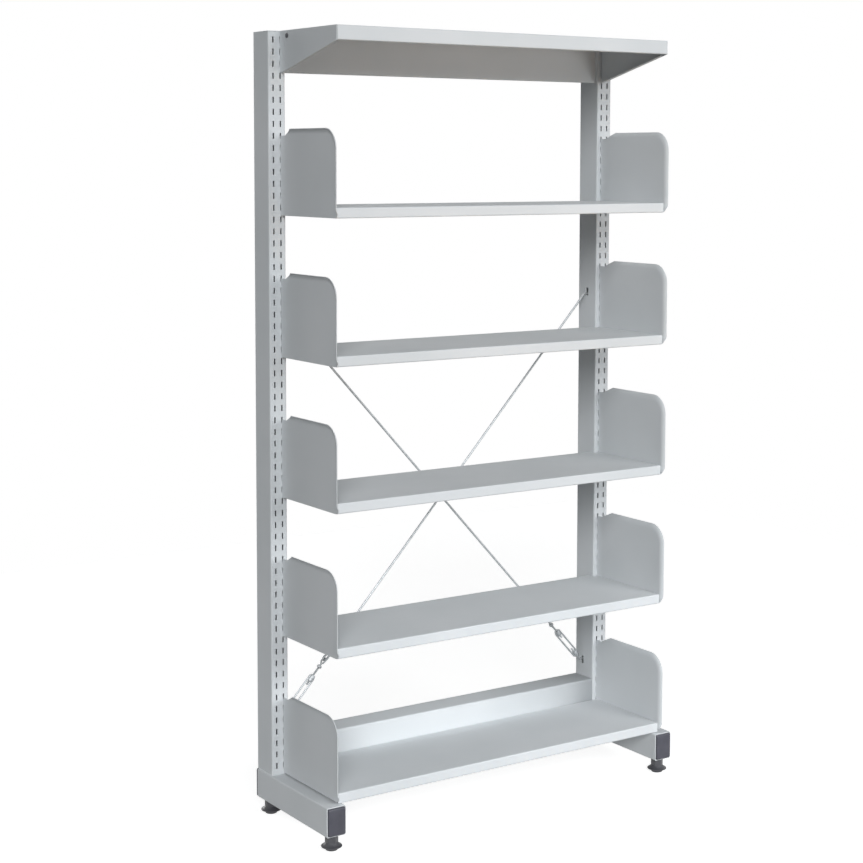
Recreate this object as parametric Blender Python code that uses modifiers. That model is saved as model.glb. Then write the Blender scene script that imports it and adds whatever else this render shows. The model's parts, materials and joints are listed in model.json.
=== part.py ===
"""Single-sided steel library rack.

Two slotted uprights stand on levelled foot beams. Five shelves hang between side plates that hook
into the slots. A canopy closes the top, a rail ties the uprights at the bottom, and a cross brace
with turnbuckles squares the frame. Metres, +Z up, front towards -Y, origin on the floor under the
middle of the rack.
"""

import math

import bmesh
import bpy
from mathutils import Matrix, Vector

# Fits
FIT_GAP = 0.0003            # between faces that touch on the real rack
SIDE_GAP = 0.0005           # between a shelf's end and its side plate
SWEEP_GAP = 0.004           # between a shelf's rear corner and the upright that it passes
ROUND_SIDES = 16            # sides of a turned piece
BORE_SIDES = 12             # sides of a small bore or stud
CORNER_STEPS = 2            # straight steps round a tube's corner
TINY = 1e-6

# Uprights
RACK_HEIGHT = 2.022
UPRIGHT_PITCH = 1.050       # between the middles of the two uprights
UPRIGHT_WIDTH = 0.048
UPRIGHT_DEPTH = 0.080
UPRIGHT_WALL = 0.002
UPRIGHT_CORNER = 0.004
UPRIGHT_SETBACK = 0.001     # rear face, in from the rear end of the foot beam
UPRIGHT_CAP = 0.0015        # thickness of the cap's flange
UPRIGHT_CAP_PLUG = 0.012

# Slots in the front of the uprights
SLOT_PITCH = 0.030
SLOT_WIDTH = 0.004
SLOT_HEIGHT = 0.015
SLOT_START = 0.0247         # lowest slot's middle, above the upright's lower end
SLOT_MARGIN = 0.015         # least distance from the top slot's middle to the upright's top
COLUMN_SPACING = 0.020

# Foot beams
FOOT_REACH = 0.016          # front end, forward of the shelves' front lips
FOOT_WIDTH = 0.054
FOOT_HEIGHT = 0.075
FOOT_WALL = 0.0025
FOOT_CORNER = 0.004
FOOT_CAP = 0.006            # thickness of the cap's flange
FOOT_CAP_PLUG = 0.008
FOOT_CAP_EDGE = 0.002

# Levelling feet
LEVELLER_HEIGHT = 0.040     # floor to the underside of the beam
LEVELLER_INSET = 0.030      # in from each end of the foot beam
BASE_RADIUS = 0.0155
BASE_HEIGHT = 0.008
BASE_EDGE = 0.0015
SOCKET_RADIUS = 0.009
SOCKET_DEPTH = 0.004
FLANGE_RADIUS = 0.0265
FLANGE_HEIGHT = 0.008
FLANGE_EDGE = 0.0025
CONE_HEIGHT = 0.004
NECK_FLATS = 0.030          # hexagon, across its flats
STUD_RADIUS = 0.006
STUD_SEAT = 0.024           # height of the stud's lower end above the floor
STUD_TOP = 0.078
NUT_FLATS = 0.019
NUT_HEIGHT = 0.010

# Side plates
PLATE_REACH = 0.010         # front edge, forward of the shelf's front lip
PLATE_HEIGHT = 0.217
PLATE_SHEET = 0.0016
PLATE_CORNER = 0.050        # top front corner
PLATE_TOE = 0.010           # lower front corner
TOE_STEPS = 3
PLATE_DROP = 0.020          # lower edge, below the shelf's first slot
BASE_DROP = 0.0235          # the same on the base shelf, which lies close over the foot beams
STRIP_LENGTH = 0.026        # plain rear strip that carries the hooks
STRIP_STEP = 0.0165         # its top, below the plate's top
REAR_RUN = 0.032            # sloping rear end of the top rim
REAR_FALL = 0.015
RIM_RADIUS = 0.020          # of the flare along the top and the front
RIM_TURN = 47               # degrees the flare turns outwards
RIM_STEPS = 3
HOOK_SLOTS = (1, 3, 5)      # slots above the shelf's first slot
HOOK_DROP = 0.006
HOOK_LIP = 0.003
HOOK_ROOT = 0.006
HOOK_RELIEF = 0.0002        # each side of a hook, in from the sheet's faces
TAB_REACH = 0.012
TAB_LENGTH = 0.030
TAB_HEIGHT = 0.010          # underside, above the plate's lower edge
TAB_INSET = 0.052           # from the plate's front edge and from the upright

# Shelves
SHELF_COUNT = 5
SHELF_SHEET = 0.0015
SHELF_HEIGHT = 0.026
SHELF_FRONT = 0.275         # front lip, forward of the upright's front face
SHELF_BEHIND = 0.020        # rear edge, behind the upright's front face
SHELF_RETURN = 0.014
SHELF_HEM = 0.008
REAR_FLANGE = 0.018

# Rail across the back at the bottom
RAIL_TOP = 0.204
RAIL_HEIGHT = 0.080
RAIL_WALL = 0.002
RAIL_CORNER = 0.005

# Canopy
CANOPY_REACH = 0.008        # front lip, forward of the shelves' front lips
CANOPY_LIP = 0.036
CANOPY_SHEET = 0.0015
CANOPY_RETURN = 0.012
CANOPY_END = 0.024          # height of the turned-down ends
CANOPY_BEHIND = 0.040       # rear edge, behind the upright's front face
PANEL_BOTTOM = 0.103        # lower edge of the back panel, below the rack's top
PANEL_SETBACK = 0.012       # behind the upright's front face
PANEL_RETURN = 0.020
BRACKET_SHEET = 0.002
BRACKET_FOOT = 0.012        # level part of the bracket's lower edge
BRACKET_FLANGE = 0.010
BRACKET_SLOTS = (0, 2)      # slots below the top one
BOLT_RADIUS = 0.004
BOLT_HEAD_RADIUS = 0.0065
BOLT_HEAD = 0.003
BOLT_NUT = 0.005
BOLT_BACK = 0.038           # forward of the upright's front face
BOLT_DROP = 0.013           # below the rack's top

# Cross brace
BRACE_RADIUS = 0.003
BRACE_BACK = 0.044          # middle of the brace, behind the upright's front face
BRACE_SPREAD = 0.008        # between the two crossing rods
BRACE_UPPER = 1.326         # height of the upper holes
BRACE_LOWER = 0.250         # height of the lower holes
BRACE_HOLE_WIDTH = 0.010
BRACE_HOLE_HEIGHT = 0.016
BRACE_STANDOFF = 0.010      # from the upright's side to the bend
BRACE_BEND = 0.007
BRACE_TAIL = 0.010          # reach inside the upright, past its wall
BRACE_TURN = 0.011          # upturned tip inside the upright
TURNBUCKLE_START = 0.016    # from the lower bend to the lower head
TURNBUCKLE_LENGTH = 0.112
HEAD_LENGTH = 0.018
HEAD_RADIUS = 0.0075
BAR_RADIUS = 0.0026
BAR_OFFSET = 0.0080
THREAD_LENGTH = 0.012       # bolt ends past their heads, inside the turnbuckle
EYE_OFFSET = 0.046          # from the upper head to the middle of the eye
EYE_RADIUS = 0.0080
EYE_WIRE = 0.0025
LOCK_NUT_FLATS = 0.012
LOCK_NUT_HEIGHT = 0.007
LOCK_NUT_OFFSET = 0.024     # from the upper head to the nut's lower face
HOOK_TAIL = 0.016           # rod's tail past the eye

# Places that follow from the sizes above
FOOT_LENGTH = SHELF_FRONT + FOOT_REACH + UPRIGHT_DEPTH + UPRIGHT_SETBACK
PLATE_DEPTH = SHELF_FRONT + PLATE_REACH
CANOPY_FRONT = SHELF_FRONT + CANOPY_REACH
FOOT_TOP = LEVELLER_HEIGHT + FOOT_HEIGHT
UPRIGHT_BOTTOM = FOOT_TOP + FIT_GAP
UPRIGHT_TOP = RACK_HEIGHT - UPRIGHT_CAP - FIT_GAP
FRONT_Y = FOOT_LENGTH / 2 - UPRIGHT_SETBACK - UPRIGHT_DEPTH
INNER_X = UPRIGHT_PITCH / 2 - UPRIGHT_WIDTH / 2
COLUMN_X = UPRIGHT_PITCH / 2 - COLUMN_SPACING / 2
FIRST_SLOT = UPRIGHT_BOTTOM + SLOT_START
SLOT_COUNT = int((UPRIGHT_TOP - SLOT_MARGIN - FIRST_SLOT) / SLOT_PITCH) + 1
SHELF_STEP = int((RACK_HEIGHT - FIRST_SLOT) / SLOT_PITCH / SHELF_COUNT)
SHELF_HALF = COLUMN_X - PLATE_SHEET / 2 - SIDE_GAP
SWEEP_HALF = INNER_X - SWEEP_GAP

SIDES = {"left": -1, "right": 1}
AXES = {
    "X": Matrix(((0, 0, 1, 0), (1, 0, 0, 0), (0, 1, 0, 0), (0, 0, 0, 1))),
    "Y": Matrix(((1, 0, 0, 0), (0, 0, -1, 0), (0, 1, 0, 0), (0, 0, 0, 1))),
    "Z": Matrix.Identity(4),
}


def slot_height(index):
    return FIRST_SLOT + SLOT_PITCH * index


def shelf_height(level):
    """Lower edge of a shelf and of its side plates; level 0 is the base shelf."""
    return slot_height(SHELF_STEP * level) - plate_drop(level)


def plate_drop(level):
    return PLATE_DROP if level else BASE_DROP


# Scene and materials

def start_scene():
    for obj in list(bpy.data.objects):
        bpy.data.objects.remove(obj, do_unlink=True)
    collections = []
    for name in ("library_rack", "library_rack_cutters"):
        collection = bpy.data.collections.new(name)
        bpy.context.scene.collection.children.link(collection)
        collections.append(collection)
    return collections


def make_material(name, colour, roughness, metallic):
    material = bpy.data.materials.new(name)
    material.use_nodes = True
    shader = material.node_tree.nodes["Principled BSDF"]
    shader.inputs["Base Color"].default_value = (*colour, 1.0)
    shader.inputs["Roughness"].default_value = roughness
    shader.inputs["Metallic"].default_value = metallic
    material.diffuse_color = (*colour, 1.0)
    return material


parts, cutters = start_scene()
POWDER_COAT = make_material("light_grey_powder_coat", (0.62, 0.64, 0.66), 0.45, 0.0)
CAP_PLASTIC = make_material("slate_plastic", (0.075, 0.075, 0.095), 0.5, 0.0)
FOOT_PLASTIC = make_material("dark_grey_plastic", (0.06, 0.06, 0.07), 0.55, 0.0)
ZINC_STEEL = make_material("zinc_plated_steel", (0.55, 0.56, 0.57), 0.35, 0.9)

rack = bpy.data.objects.new("library_rack", None)
parts.objects.link(rack)


# Objects and modifiers

def add_part(name, data, material, location=(0, 0, 0), rotation=None):
    """A named piece of the rack, with its origin at location."""
    obj = bpy.data.objects.new(name, data)
    parts.objects.link(obj)
    obj.parent = rack
    obj.location = location
    if rotation is not None:
        obj.rotation_mode = "QUATERNION"
        obj.rotation_quaternion = rotation
    if not data.materials:
        data.materials.append(material)
    return obj


def add_cutter(name, mesh, owner=None):
    """A hidden shape for a Boolean; it takes its owner's place."""
    obj = bpy.data.objects.new(name, mesh)
    cutters.objects.link(obj)
    obj.hide_render = True
    obj.display_type = "WIRE"
    if owner is not None:
        obj.parent = owner
    return obj


def boolean(obj, operation, mesh):
    modifier = obj.modifiers.new(operation.lower(), "BOOLEAN")
    modifier.operation = operation
    modifier.solver = "EXACT"
    modifier.object = add_cutter(f"{obj.name}_{operation.lower()}_{len(obj.modifiers)}", mesh, obj)


def round_shading(mesh):
    mesh.shade_smooth()
    mesh.set_sharp_from_angle(angle=math.radians(35))


# Mesh makers

def mesh_from(bm, name, smooth=False):
    mesh = bpy.data.meshes.new(name)
    bm.to_mesh(mesh)
    bm.free()
    if smooth:
        round_shading(mesh)
    return mesh


def evaluated_mesh(obj):
    bpy.context.view_layer.update()
    depsgraph = bpy.context.evaluated_depsgraph_get()
    return bpy.data.meshes.new_from_object(obj.evaluated_get(depsgraph))


def add_box(bm, low, high):
    size = [b - a for a, b in zip(low, high)]
    middle = [(a + b) / 2 for a, b in zip(low, high)]
    place = Matrix.Translation(middle) @ Matrix.Diagonal((*size, 1.0))
    bmesh.ops.create_cube(bm, size=1.0, matrix=place)


def box(name, low, high):
    bm = bmesh.new()
    add_box(bm, low, high)
    return mesh_from(bm, name)


def cylinder(name, radius, low, high, axis="Z", sides=ROUND_SIDES, middle=(0, 0)):
    """A round bar from low to high along an axis, through middle in the other two directions."""
    bm = bmesh.new()
    place = AXES[axis] @ Matrix.Translation((*middle, 0.0))
    bmesh.ops.create_cone(bm, cap_ends=True, segments=sides, radius1=radius, radius2=radius,
                          depth=high - low, matrix=place)
    along = AXES[axis].to_3x3() @ Vector((0, 0, 1))
    bmesh.ops.translate(bm, verts=bm.verts, vec=along * (low + high) / 2)
    return mesh_from(bm, name, smooth=True)


def prism(name, loops, low, high, axis="Z", fill="BOTH"):
    """Flat outlines, an outer one and any holes, extruded from low to high along an axis.

    Outlines are (x, y) along Z, (y, z) along X and (x, z) along Y.
    """
    curve = bpy.data.curves.new(name, "CURVE")
    curve.dimensions = "2D"
    curve.fill_mode = fill
    curve.extrude = (high - low) / 2
    for loop in loops:
        spline = curve.splines.new("POLY")
        spline.points.add(len(loop) - 1)
        for point, (u, v) in zip(spline.points, loop):
            point.co = (u, v, 0.0, 1.0)
        spline.use_cyclic_u = True
    holder = bpy.data.objects.new(name, curve)
    cutters.objects.link(holder)
    mesh = evaluated_mesh(holder)
    bpy.data.objects.remove(holder, do_unlink=True)
    bm = bmesh.new()
    bm.from_mesh(mesh)
    bmesh.ops.remove_doubles(bm, verts=bm.verts, dist=TINY)
    bmesh.ops.transform(bm, matrix=AXES[axis], verts=bm.verts)
    middle = {"X": ((low + high) / 2, 0, 0), "Y": (0, (low + high) / 2, 0), "Z": (0, 0, (low + high) / 2)}
    bmesh.ops.translate(bm, verts=bm.verts, vec=middle[axis])
    bmesh.ops.recalc_face_normals(bm, faces=bm.faces)
    bm.to_mesh(mesh)
    bm.free()
    return mesh


def tube(name, outline, wall, low, high, axis="Z"):
    """An outline's wall, with its thickness inwards, from low to high along an axis."""
    holder = add_cutter(name, prism(name, [outline], low, high, axis, fill="NONE"))
    thickness = holder.modifiers.new("wall", "SOLIDIFY")
    thickness.thickness = wall
    thickness.offset = -1
    thickness.use_even_offset = True
    return finished(holder)


def finished(holder):
    """The mesh of a hidden shape with its modifiers applied; the shape and its cutters go."""
    mesh = evaluated_mesh(holder)
    for child in list(holder.children):
        bpy.data.objects.remove(child, do_unlink=True)
    bpy.data.objects.remove(holder, do_unlink=True)
    return mesh


def turned(name, profile):
    """A profile of (radius, height), top to bottom down its outer side, turned about Z."""
    mesh = bpy.data.meshes.new(name)
    points = [(radius, 0.0, height) for radius, height in profile]
    mesh.from_pydata(points, [(i, i + 1) for i in range(len(points) - 1)], [])
    return mesh


def add_screw(obj):
    screw = obj.modifiers.new("turned", "SCREW")
    screw.axis = "Z"
    screw.steps = ROUND_SIDES
    screw.render_steps = ROUND_SIDES
    screw.use_merge_vertices = True
    screw.merge_threshold = 0.00001
    screw.use_smooth_shade = True


def wire(name, points, radius, material):
    """A round rod along points, with closed ends."""
    curve = bpy.data.curves.new(name, "CURVE")
    curve.dimensions = "3D"
    curve.bevel_depth = radius
    curve.bevel_resolution = 2
    curve.use_fill_caps = True
    spline = curve.splines.new("POLY")
    spline.points.add(len(points) - 1)
    for point, place in zip(spline.points, points):
        point.co = (*place, 1.0)
    return add_part(name, curve, material)


# Outlines

def arc(middle, radius, start, end, steps):
    """Points from one angle to another, in degrees."""
    turns = [math.radians(start + (end - start) * i / steps) for i in range(steps + 1)]
    return [(middle[0] + radius * math.cos(t), middle[1] + radius * math.sin(t)) for t in turns]


def rounded_rectangle(width, height, radius):
    points = []
    corners = ((1, 1, 0), (-1, 1, 90), (-1, -1, 180), (1, -1, 270))
    for sign_u, sign_v, start in corners:
        centre = (sign_u * (width / 2 - radius), sign_v * (height / 2 - radius))
        points += arc(centre, radius, start, start + 90, CORNER_STEPS)
    return points


def polygon(flats, sides=6):
    """A regular polygon by the distance across its flats."""
    radius = flats / 2 / math.cos(math.pi / sides)
    return arc((0, 0), radius, 0, 360 * (sides - 1) / sides, sides - 1)


def circle(radius, sides=ROUND_SIDES):
    return arc((0, 0), radius, 0, 360 * (sides - 1) / sides, sides - 1)


def folded_sheet(path, sheet):
    """Outline of a folded sheet whose middle follows path, with mitred bends."""
    points = [Vector(p) for p in path]
    offsets = []
    for i, point in enumerate(points):
        before = (point - points[i - 1]).normalized() if i else None
        after = (points[i + 1] - point).normalized() if i + 1 < len(points) else None
        first = before or after
        last = after or before
        normal = Vector((-first.y - last.y, first.x + last.x)).normalized()
        offsets.append(normal * (sheet / 2) / normal.dot(Vector((-first.y, first.x))))
    left = [p + o for p, o in zip(points, offsets)]
    right = [p - o for p, o in zip(points, offsets)]
    return [(p.x, p.y) for p in left + right[::-1]]


def filleted(points, radius, steps=4):
    """A path in space with its corners rounded."""
    points = [Vector(p) for p in points]
    path = [points[0]]
    for before, corner, after in zip(points, points[1:], points[2:]):
        into = (before - corner).normalized()
        out = (after - corner).normalized()
        half = into.angle(out) / 2
        reach = radius / math.tan(half)
        middle = corner + (into + out).normalized() * radius / math.sin(half)
        start = (corner + into * reach - middle).normalized()
        end = (corner + out * reach - middle).normalized()
        for i in range(steps + 1):
            path.append(middle + start.slerp(end, i / steps) * radius)
    path.append(points[-1])
    return path


# Uprights and feet

def upright(side_name):
    side = SIDES[side_name]
    centre = (side * UPRIGHT_PITCH / 2, FRONT_Y + UPRIGHT_DEPTH / 2)
    outline = rounded_rectangle(UPRIGHT_WIDTH, UPRIGHT_DEPTH, UPRIGHT_CORNER)
    mesh = tube("upright", outline, UPRIGHT_WALL, 0, UPRIGHT_TOP - UPRIGHT_BOTTOM)
    obj = add_part(f"{side_name}_upright", mesh, POWDER_COAT, (*centre, UPRIGHT_BOTTOM))
    bm = bmesh.new()
    face = -UPRIGHT_DEPTH / 2
    for column in (-COLUMN_SPACING / 2, COLUMN_SPACING / 2):
        for index in range(SLOT_COUNT):
            height = slot_height(index) - UPRIGHT_BOTTOM
            add_box(bm, (column - SLOT_WIDTH / 2, face - UPRIGHT_WALL, height - SLOT_HEIGHT / 2),
                    (column + SLOT_WIDTH / 2, face + 2 * UPRIGHT_WALL, height + SLOT_HEIGHT / 2))
    wall_x = -side * UPRIGHT_WIDTH / 2
    for end, height in (("upper", BRACE_UPPER), ("lower", BRACE_LOWER)):
        brace_side = side if end == "upper" else -side
        across = brace_back(brace_side) - UPRIGHT_DEPTH / 2
        level = height - UPRIGHT_BOTTOM
        add_box(bm, (wall_x - 2 * UPRIGHT_WALL, across - BRACE_HOLE_WIDTH / 2, level - BRACE_HOLE_HEIGHT / 2),
                (wall_x + 2 * UPRIGHT_WALL, across + BRACE_HOLE_WIDTH / 2, level + BRACE_HOLE_HEIGHT / 2))
    boolean(obj, "DIFFERENCE", mesh_from(bm, f"{side_name}_slots"))


def upright_cap(side_name):
    centre = (SIDES[side_name] * UPRIGHT_PITCH / 2, FRONT_Y + UPRIGHT_DEPTH / 2)
    inside = 2 * (UPRIGHT_WALL + FIT_GAP)
    outline = rounded_rectangle(UPRIGHT_WIDTH, UPRIGHT_DEPTH, UPRIGHT_CORNER)
    obj = add_part(f"{side_name}_upright_cap", prism("upright_cap", [outline], -UPRIGHT_CAP, 0), POWDER_COAT,
                   (*centre, RACK_HEIGHT))
    plug = rounded_rectangle(UPRIGHT_WIDTH - inside, UPRIGHT_DEPTH - inside, UPRIGHT_CORNER)
    boolean(obj, "UNION", tube("upright_plug", plug, UPRIGHT_WALL, -UPRIGHT_CAP - UPRIGHT_CAP_PLUG, -UPRIGHT_CAP / 2))


def leveller_places():
    reach = FOOT_LENGTH / 2 - LEVELLER_INSET
    return {"front": -reach, "rear": reach}


def foot_beam(side_name):
    half = FOOT_LENGTH / 2 - FOOT_CAP - FIT_GAP
    outline = rounded_rectangle(FOOT_WIDTH, FOOT_HEIGHT, FOOT_CORNER)
    mesh = tube("foot_beam", outline, FOOT_WALL, -half, half, "Y")
    place = (SIDES[side_name] * UPRIGHT_PITCH / 2, 0, LEVELLER_HEIGHT + FOOT_HEIGHT / 2)
    obj = add_part(f"{side_name}_foot_beam", mesh, POWDER_COAT, place)
    floor = -FOOT_HEIGHT / 2
    for end, y in leveller_places().items():
        hole = cylinder("stud_hole", STUD_RADIUS + 2 * FIT_GAP, floor - FOOT_WALL, floor + 2 * FOOT_WALL,
                        sides=BORE_SIDES, middle=(0, y))
        boolean(obj, "DIFFERENCE", hole)


def foot_cap(side_name, end):
    outward = -1 if end == "front" else 1
    face = outward * FOOT_LENGTH / 2
    place = (SIDES[side_name] * UPRIGHT_PITCH / 2, face, LEVELLER_HEIGHT + FOOT_HEIGHT / 2)
    low, high = sorted((0, -outward * FOOT_CAP))
    outline = rounded_rectangle(FOOT_WIDTH, FOOT_HEIGHT, FOOT_CORNER)
    obj = add_part(f"{side_name}_{end}_foot_cap", prism("foot_cap", [outline], low, high, "Y"), CAP_PLASTIC, place)
    edge = obj.modifiers.new("edge", "BEVEL")
    edge.width = FOOT_CAP_EDGE
    edge.segments = 1
    edge.limit_method = "ANGLE"
    edge.angle_limit = math.radians(60)
    inside = 2 * (FOOT_WALL + FIT_GAP)
    plug = rounded_rectangle(FOOT_WIDTH - inside, FOOT_HEIGHT - inside, FOOT_CORNER)
    low, high = sorted((-outward * FOOT_CAP / 2, -outward * (FOOT_CAP + FOOT_CAP_PLUG)))
    boolean(obj, "UNION", tube("foot_plug", plug, FOOT_WALL, low, high, "Y"))


# Levelling feet

def leveller(side_name, end):
    name = f"{side_name}_{end}_leveller"
    middle = (SIDES[side_name] * UPRIGHT_PITCH / 2, leveller_places()[end])
    socket_floor = BASE_HEIGHT - SOCKET_DEPTH
    base_profile = [(0, socket_floor), (SOCKET_RADIUS, socket_floor), (SOCKET_RADIUS, BASE_HEIGHT),
                    (BASE_RADIUS - BASE_EDGE, BASE_HEIGHT), (BASE_RADIUS, BASE_HEIGHT - BASE_EDGE),
                    (BASE_RADIUS, BASE_EDGE), (BASE_RADIUS - BASE_EDGE, 0), (0, 0)]
    base = add_part(f"{name}_base", turned("leveller_base", base_profile), FOOT_PLASTIC, (*middle, 0))
    add_screw(base)

    flange = BASE_HEIGHT + FIT_GAP
    flange_top = flange + FLANGE_HEIGHT
    cone_radius = NECK_FLATS / 2 + CONE_HEIGHT / 2
    foot_profile = [(0, flange_top + CONE_HEIGHT), (NECK_FLATS / 2 - FIT_GAP, flange_top + CONE_HEIGHT),
                    (cone_radius, flange_top), (FLANGE_RADIUS - FLANGE_EDGE, flange_top - FLANGE_EDGE / 2),
                    (FLANGE_RADIUS, flange_top - 1.5 * FLANGE_EDGE), (FLANGE_RADIUS, flange + FLANGE_EDGE / 2),
                    (FLANGE_RADIUS - FLANGE_EDGE / 2, flange), (SOCKET_RADIUS - FIT_GAP, flange),
                    (SOCKET_RADIUS - FIT_GAP, socket_floor + FIT_GAP), (0, socket_floor + FIT_GAP)]
    foot = add_part(f"{name}_foot", turned("leveller_foot", foot_profile), FOOT_PLASTIC, (*middle, 0))
    add_screw(foot)
    boolean(foot, "UNION", prism("leveller_neck", [polygon(NECK_FLATS)], flange_top, LEVELLER_HEIGHT - FIT_GAP))
    boolean(foot, "DIFFERENCE", cylinder("stud_bore", STUD_RADIUS + FIT_GAP, STUD_SEAT, LEVELLER_HEIGHT + FIT_GAP,
                                         sides=BORE_SIDES))

    stud = cylinder("leveller_stud", STUD_RADIUS, STUD_SEAT + FIT_GAP, STUD_TOP, sides=BORE_SIDES)
    add_part(f"{name}_stud", stud, ZINC_STEEL, (*middle, 0))

    nut_floor = LEVELLER_HEIGHT + FOOT_WALL + FIT_GAP
    nut = prism("leveller_nut", [polygon(NUT_FLATS), circle(STUD_RADIUS + FIT_GAP, BORE_SIDES)], 0, NUT_HEIGHT)
    add_part(f"{name}_nut", nut, ZINC_STEEL, (*middle, nut_floor))


# Side plates

def plate_outline():
    """Outer edge of the rim in (y, z), running past the rear and the bottom, where the sheet is trimmed."""
    front, top, spare = -PLATE_DEPTH, PLATE_HEIGHT, 2 * RIM_RADIUS
    points = [(front, -spare), (spare, -spare), (spare, top)]
    return points + arc((front + PLATE_CORNER, top - PLATE_CORNER), PLATE_CORNER, 90, 180, 6)


def plate_trims():
    """Planes in (y, z) that trim the pressed sheet: a point of each and the way that is cut off."""
    trims = [((0, 0), (0, -1)), ((-STRIP_LENGTH, 0), (1, 0)),
             ((-STRIP_LENGTH, PLATE_HEIGHT - REAR_FALL), (REAR_FALL, REAR_RUN))]
    middle = (PLATE_TOE - PLATE_DEPTH, PLATE_TOE)
    for step in range(1, TOE_STEPS + 1):
        turn = math.pi / 2 * step / (TOE_STEPS + 1)
        way = (-math.cos(turn), -math.sin(turn))
        trims.append(((middle[0] + PLATE_TOE * way[0], middle[1] + PLATE_TOE * way[1]), way))
    return trims


def plate_sheet(side):
    """Pressed sheet of a side plate: a flat field, a rim flared outwards and a plain rear strip."""
    bm = bmesh.new()
    turns = [math.radians(RIM_TURN) * (1 - step / RIM_STEPS) for step in range(RIM_STEPS + 1)]
    tip = RIM_RADIUS * (1 - math.cos(turns[0]))
    field = bm.faces.new([bm.verts.new((tip, y, z)) for y, z in plate_outline()])
    field.normal_update()
    if field.normal.x < 0:
        field.normal_flip()
    for turn, after in zip(turns, turns[1:]):
        bmesh.ops.inset_region(bm, faces=[field], use_boundary=True, use_even_offset=True,
                               thickness=RIM_RADIUS * (math.sin(turn) - math.sin(after)),
                               depth=RIM_RADIUS * (math.cos(turn) - math.cos(after)))
    for point, way in plate_trims():
        bmesh.ops.bisect_plane(bm, geom=bm.verts[:] + bm.edges[:] + bm.faces[:], dist=TINY,
                               plane_co=(0, *point), plane_no=(0, *way), clear_outer=True)
    strip_top = PLATE_HEIGHT - STRIP_STEP
    bmesh.ops.bisect_plane(bm, geom=bm.verts[:] + bm.edges[:] + bm.faces[:], dist=TINY,
                           plane_co=(0, 0, strip_top), plane_no=(0, 0, 1))
    edges = [e for e in bm.edges if e.is_boundary and all(on_strip(v.co, strip_top) for v in e.verts)]
    made = bmesh.ops.extrude_edge_only(bm, edges=edges)["geom"]
    moved = [v for v in made if isinstance(v, bmesh.types.BMVert)]
    bmesh.ops.translate(bm, verts=moved, vec=(0, STRIP_LENGTH - FIT_GAP, 0))
    if side < 0:
        bmesh.ops.scale(bm, vec=(-1, 1, 1), verts=bm.verts)
        bmesh.ops.reverse_faces(bm, faces=bm.faces)
    return mesh_from(bm, "plate_sheet")


def on_strip(point, strip_top):
    return abs(point.y + STRIP_LENGTH) < 10 * TINY and abs(point.x) < 10 * TINY and point.z < strip_top + 10 * TINY


def hook_outline(seat):
    """A hook in (y, z) whose neck rests at seat on the lower end of a slot."""
    neck = SLOT_HEIGHT - HOOK_DROP - 3 * FIT_GAP
    inside = UPRIGHT_WALL + FIT_GAP
    return [(-HOOK_ROOT, seat), (inside, seat), (inside, seat - HOOK_DROP),
            (inside + HOOK_LIP, seat - HOOK_DROP), (inside + HOOK_LIP, seat + neck), (-HOOK_ROOT, seat + neck)]


def hook_seat(height):
    return height - SLOT_HEIGHT / 2 + FIT_GAP


def joined(meshes, name):
    bm = bmesh.new()
    for mesh in meshes:
        bm.from_mesh(mesh)
    return mesh_from(bm, name)


def plate_mesh(side, drop):
    """One side plate with its hooks and shelf tabs; drop is from its first slot to its lower edge."""
    holder = add_cutter("plate", plate_sheet(side))
    wall = holder.modifiers.new("sheet", "SOLIDIFY")
    wall.thickness = PLATE_SHEET
    wall.offset = 0
    wall.use_even_offset = True
    half = PLATE_SHEET / 2 - HOOK_RELIEF
    additions = []
    for slot in HOOK_SLOTS:
        seat = hook_seat(drop + SLOT_PITCH * slot)
        additions.append(prism("hook", [hook_outline(seat)], -half, half, "X"))
    for inset in (TAB_INSET, PLATE_DEPTH - TAB_INSET):
        ends = sorted((side * half, -side * TAB_REACH))
        additions.append(box("tab", (ends[0], -inset - TAB_LENGTH / 2, TAB_HEIGHT),
                             (ends[1], -inset + TAB_LENGTH / 2, TAB_HEIGHT + PLATE_SHEET)))
    boolean(holder, "UNION", joined(additions, "hooks_and_tabs"))
    mesh = finished(holder)
    round_shading(mesh)
    return mesh


# Shelves

def shelf_mesh(name, behind):
    """A folded tray, open below, with hemmed front lip, turned-down ends and clear rear corners."""
    front = -SHELF_FRONT + SHELF_SHEET / 2
    rear = behind - SHELF_SHEET / 2
    top = SHELF_HEIGHT - SHELF_SHEET / 2
    low = SHELF_SHEET / 2
    path = [(rear, top - REAR_FLANGE), (rear, top), (front, top), (front, low),
            (front + SHELF_RETURN, low), (front + SHELF_RETURN, low + SHELF_HEM)]
    holder = add_cutter(name, prism(name, [folded_sheet(path, SHELF_SHEET)], -SHELF_HALF, SHELF_HALF, "X"))
    seat = TAB_HEIGHT + PLATE_SHEET + FIT_GAP
    ends = bmesh.new()
    for side in SIDES.values():
        faces = sorted((side * (SHELF_HALF - FIT_GAP), side * (SHELF_HALF - FIT_GAP - SHELF_SHEET)))
        add_box(ends, (faces[0], front, seat), (faces[1], rear, top))
    boolean(holder, "UNION", mesh_from(ends, "shelf_ends"))
    if behind > 0:
        notches = bmesh.new()
        for side in SIDES.values():
            faces = sorted((side * SWEEP_HALF, side * 2 * SHELF_HALF))
            add_box(notches, (faces[0], -SWEEP_GAP, -SHELF_HEIGHT), (faces[1], 2 * behind, 2 * SHELF_HEIGHT))
        boolean(holder, "DIFFERENCE", mesh_from(notches, "shelf_notches"))
    return finished(holder)


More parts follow.
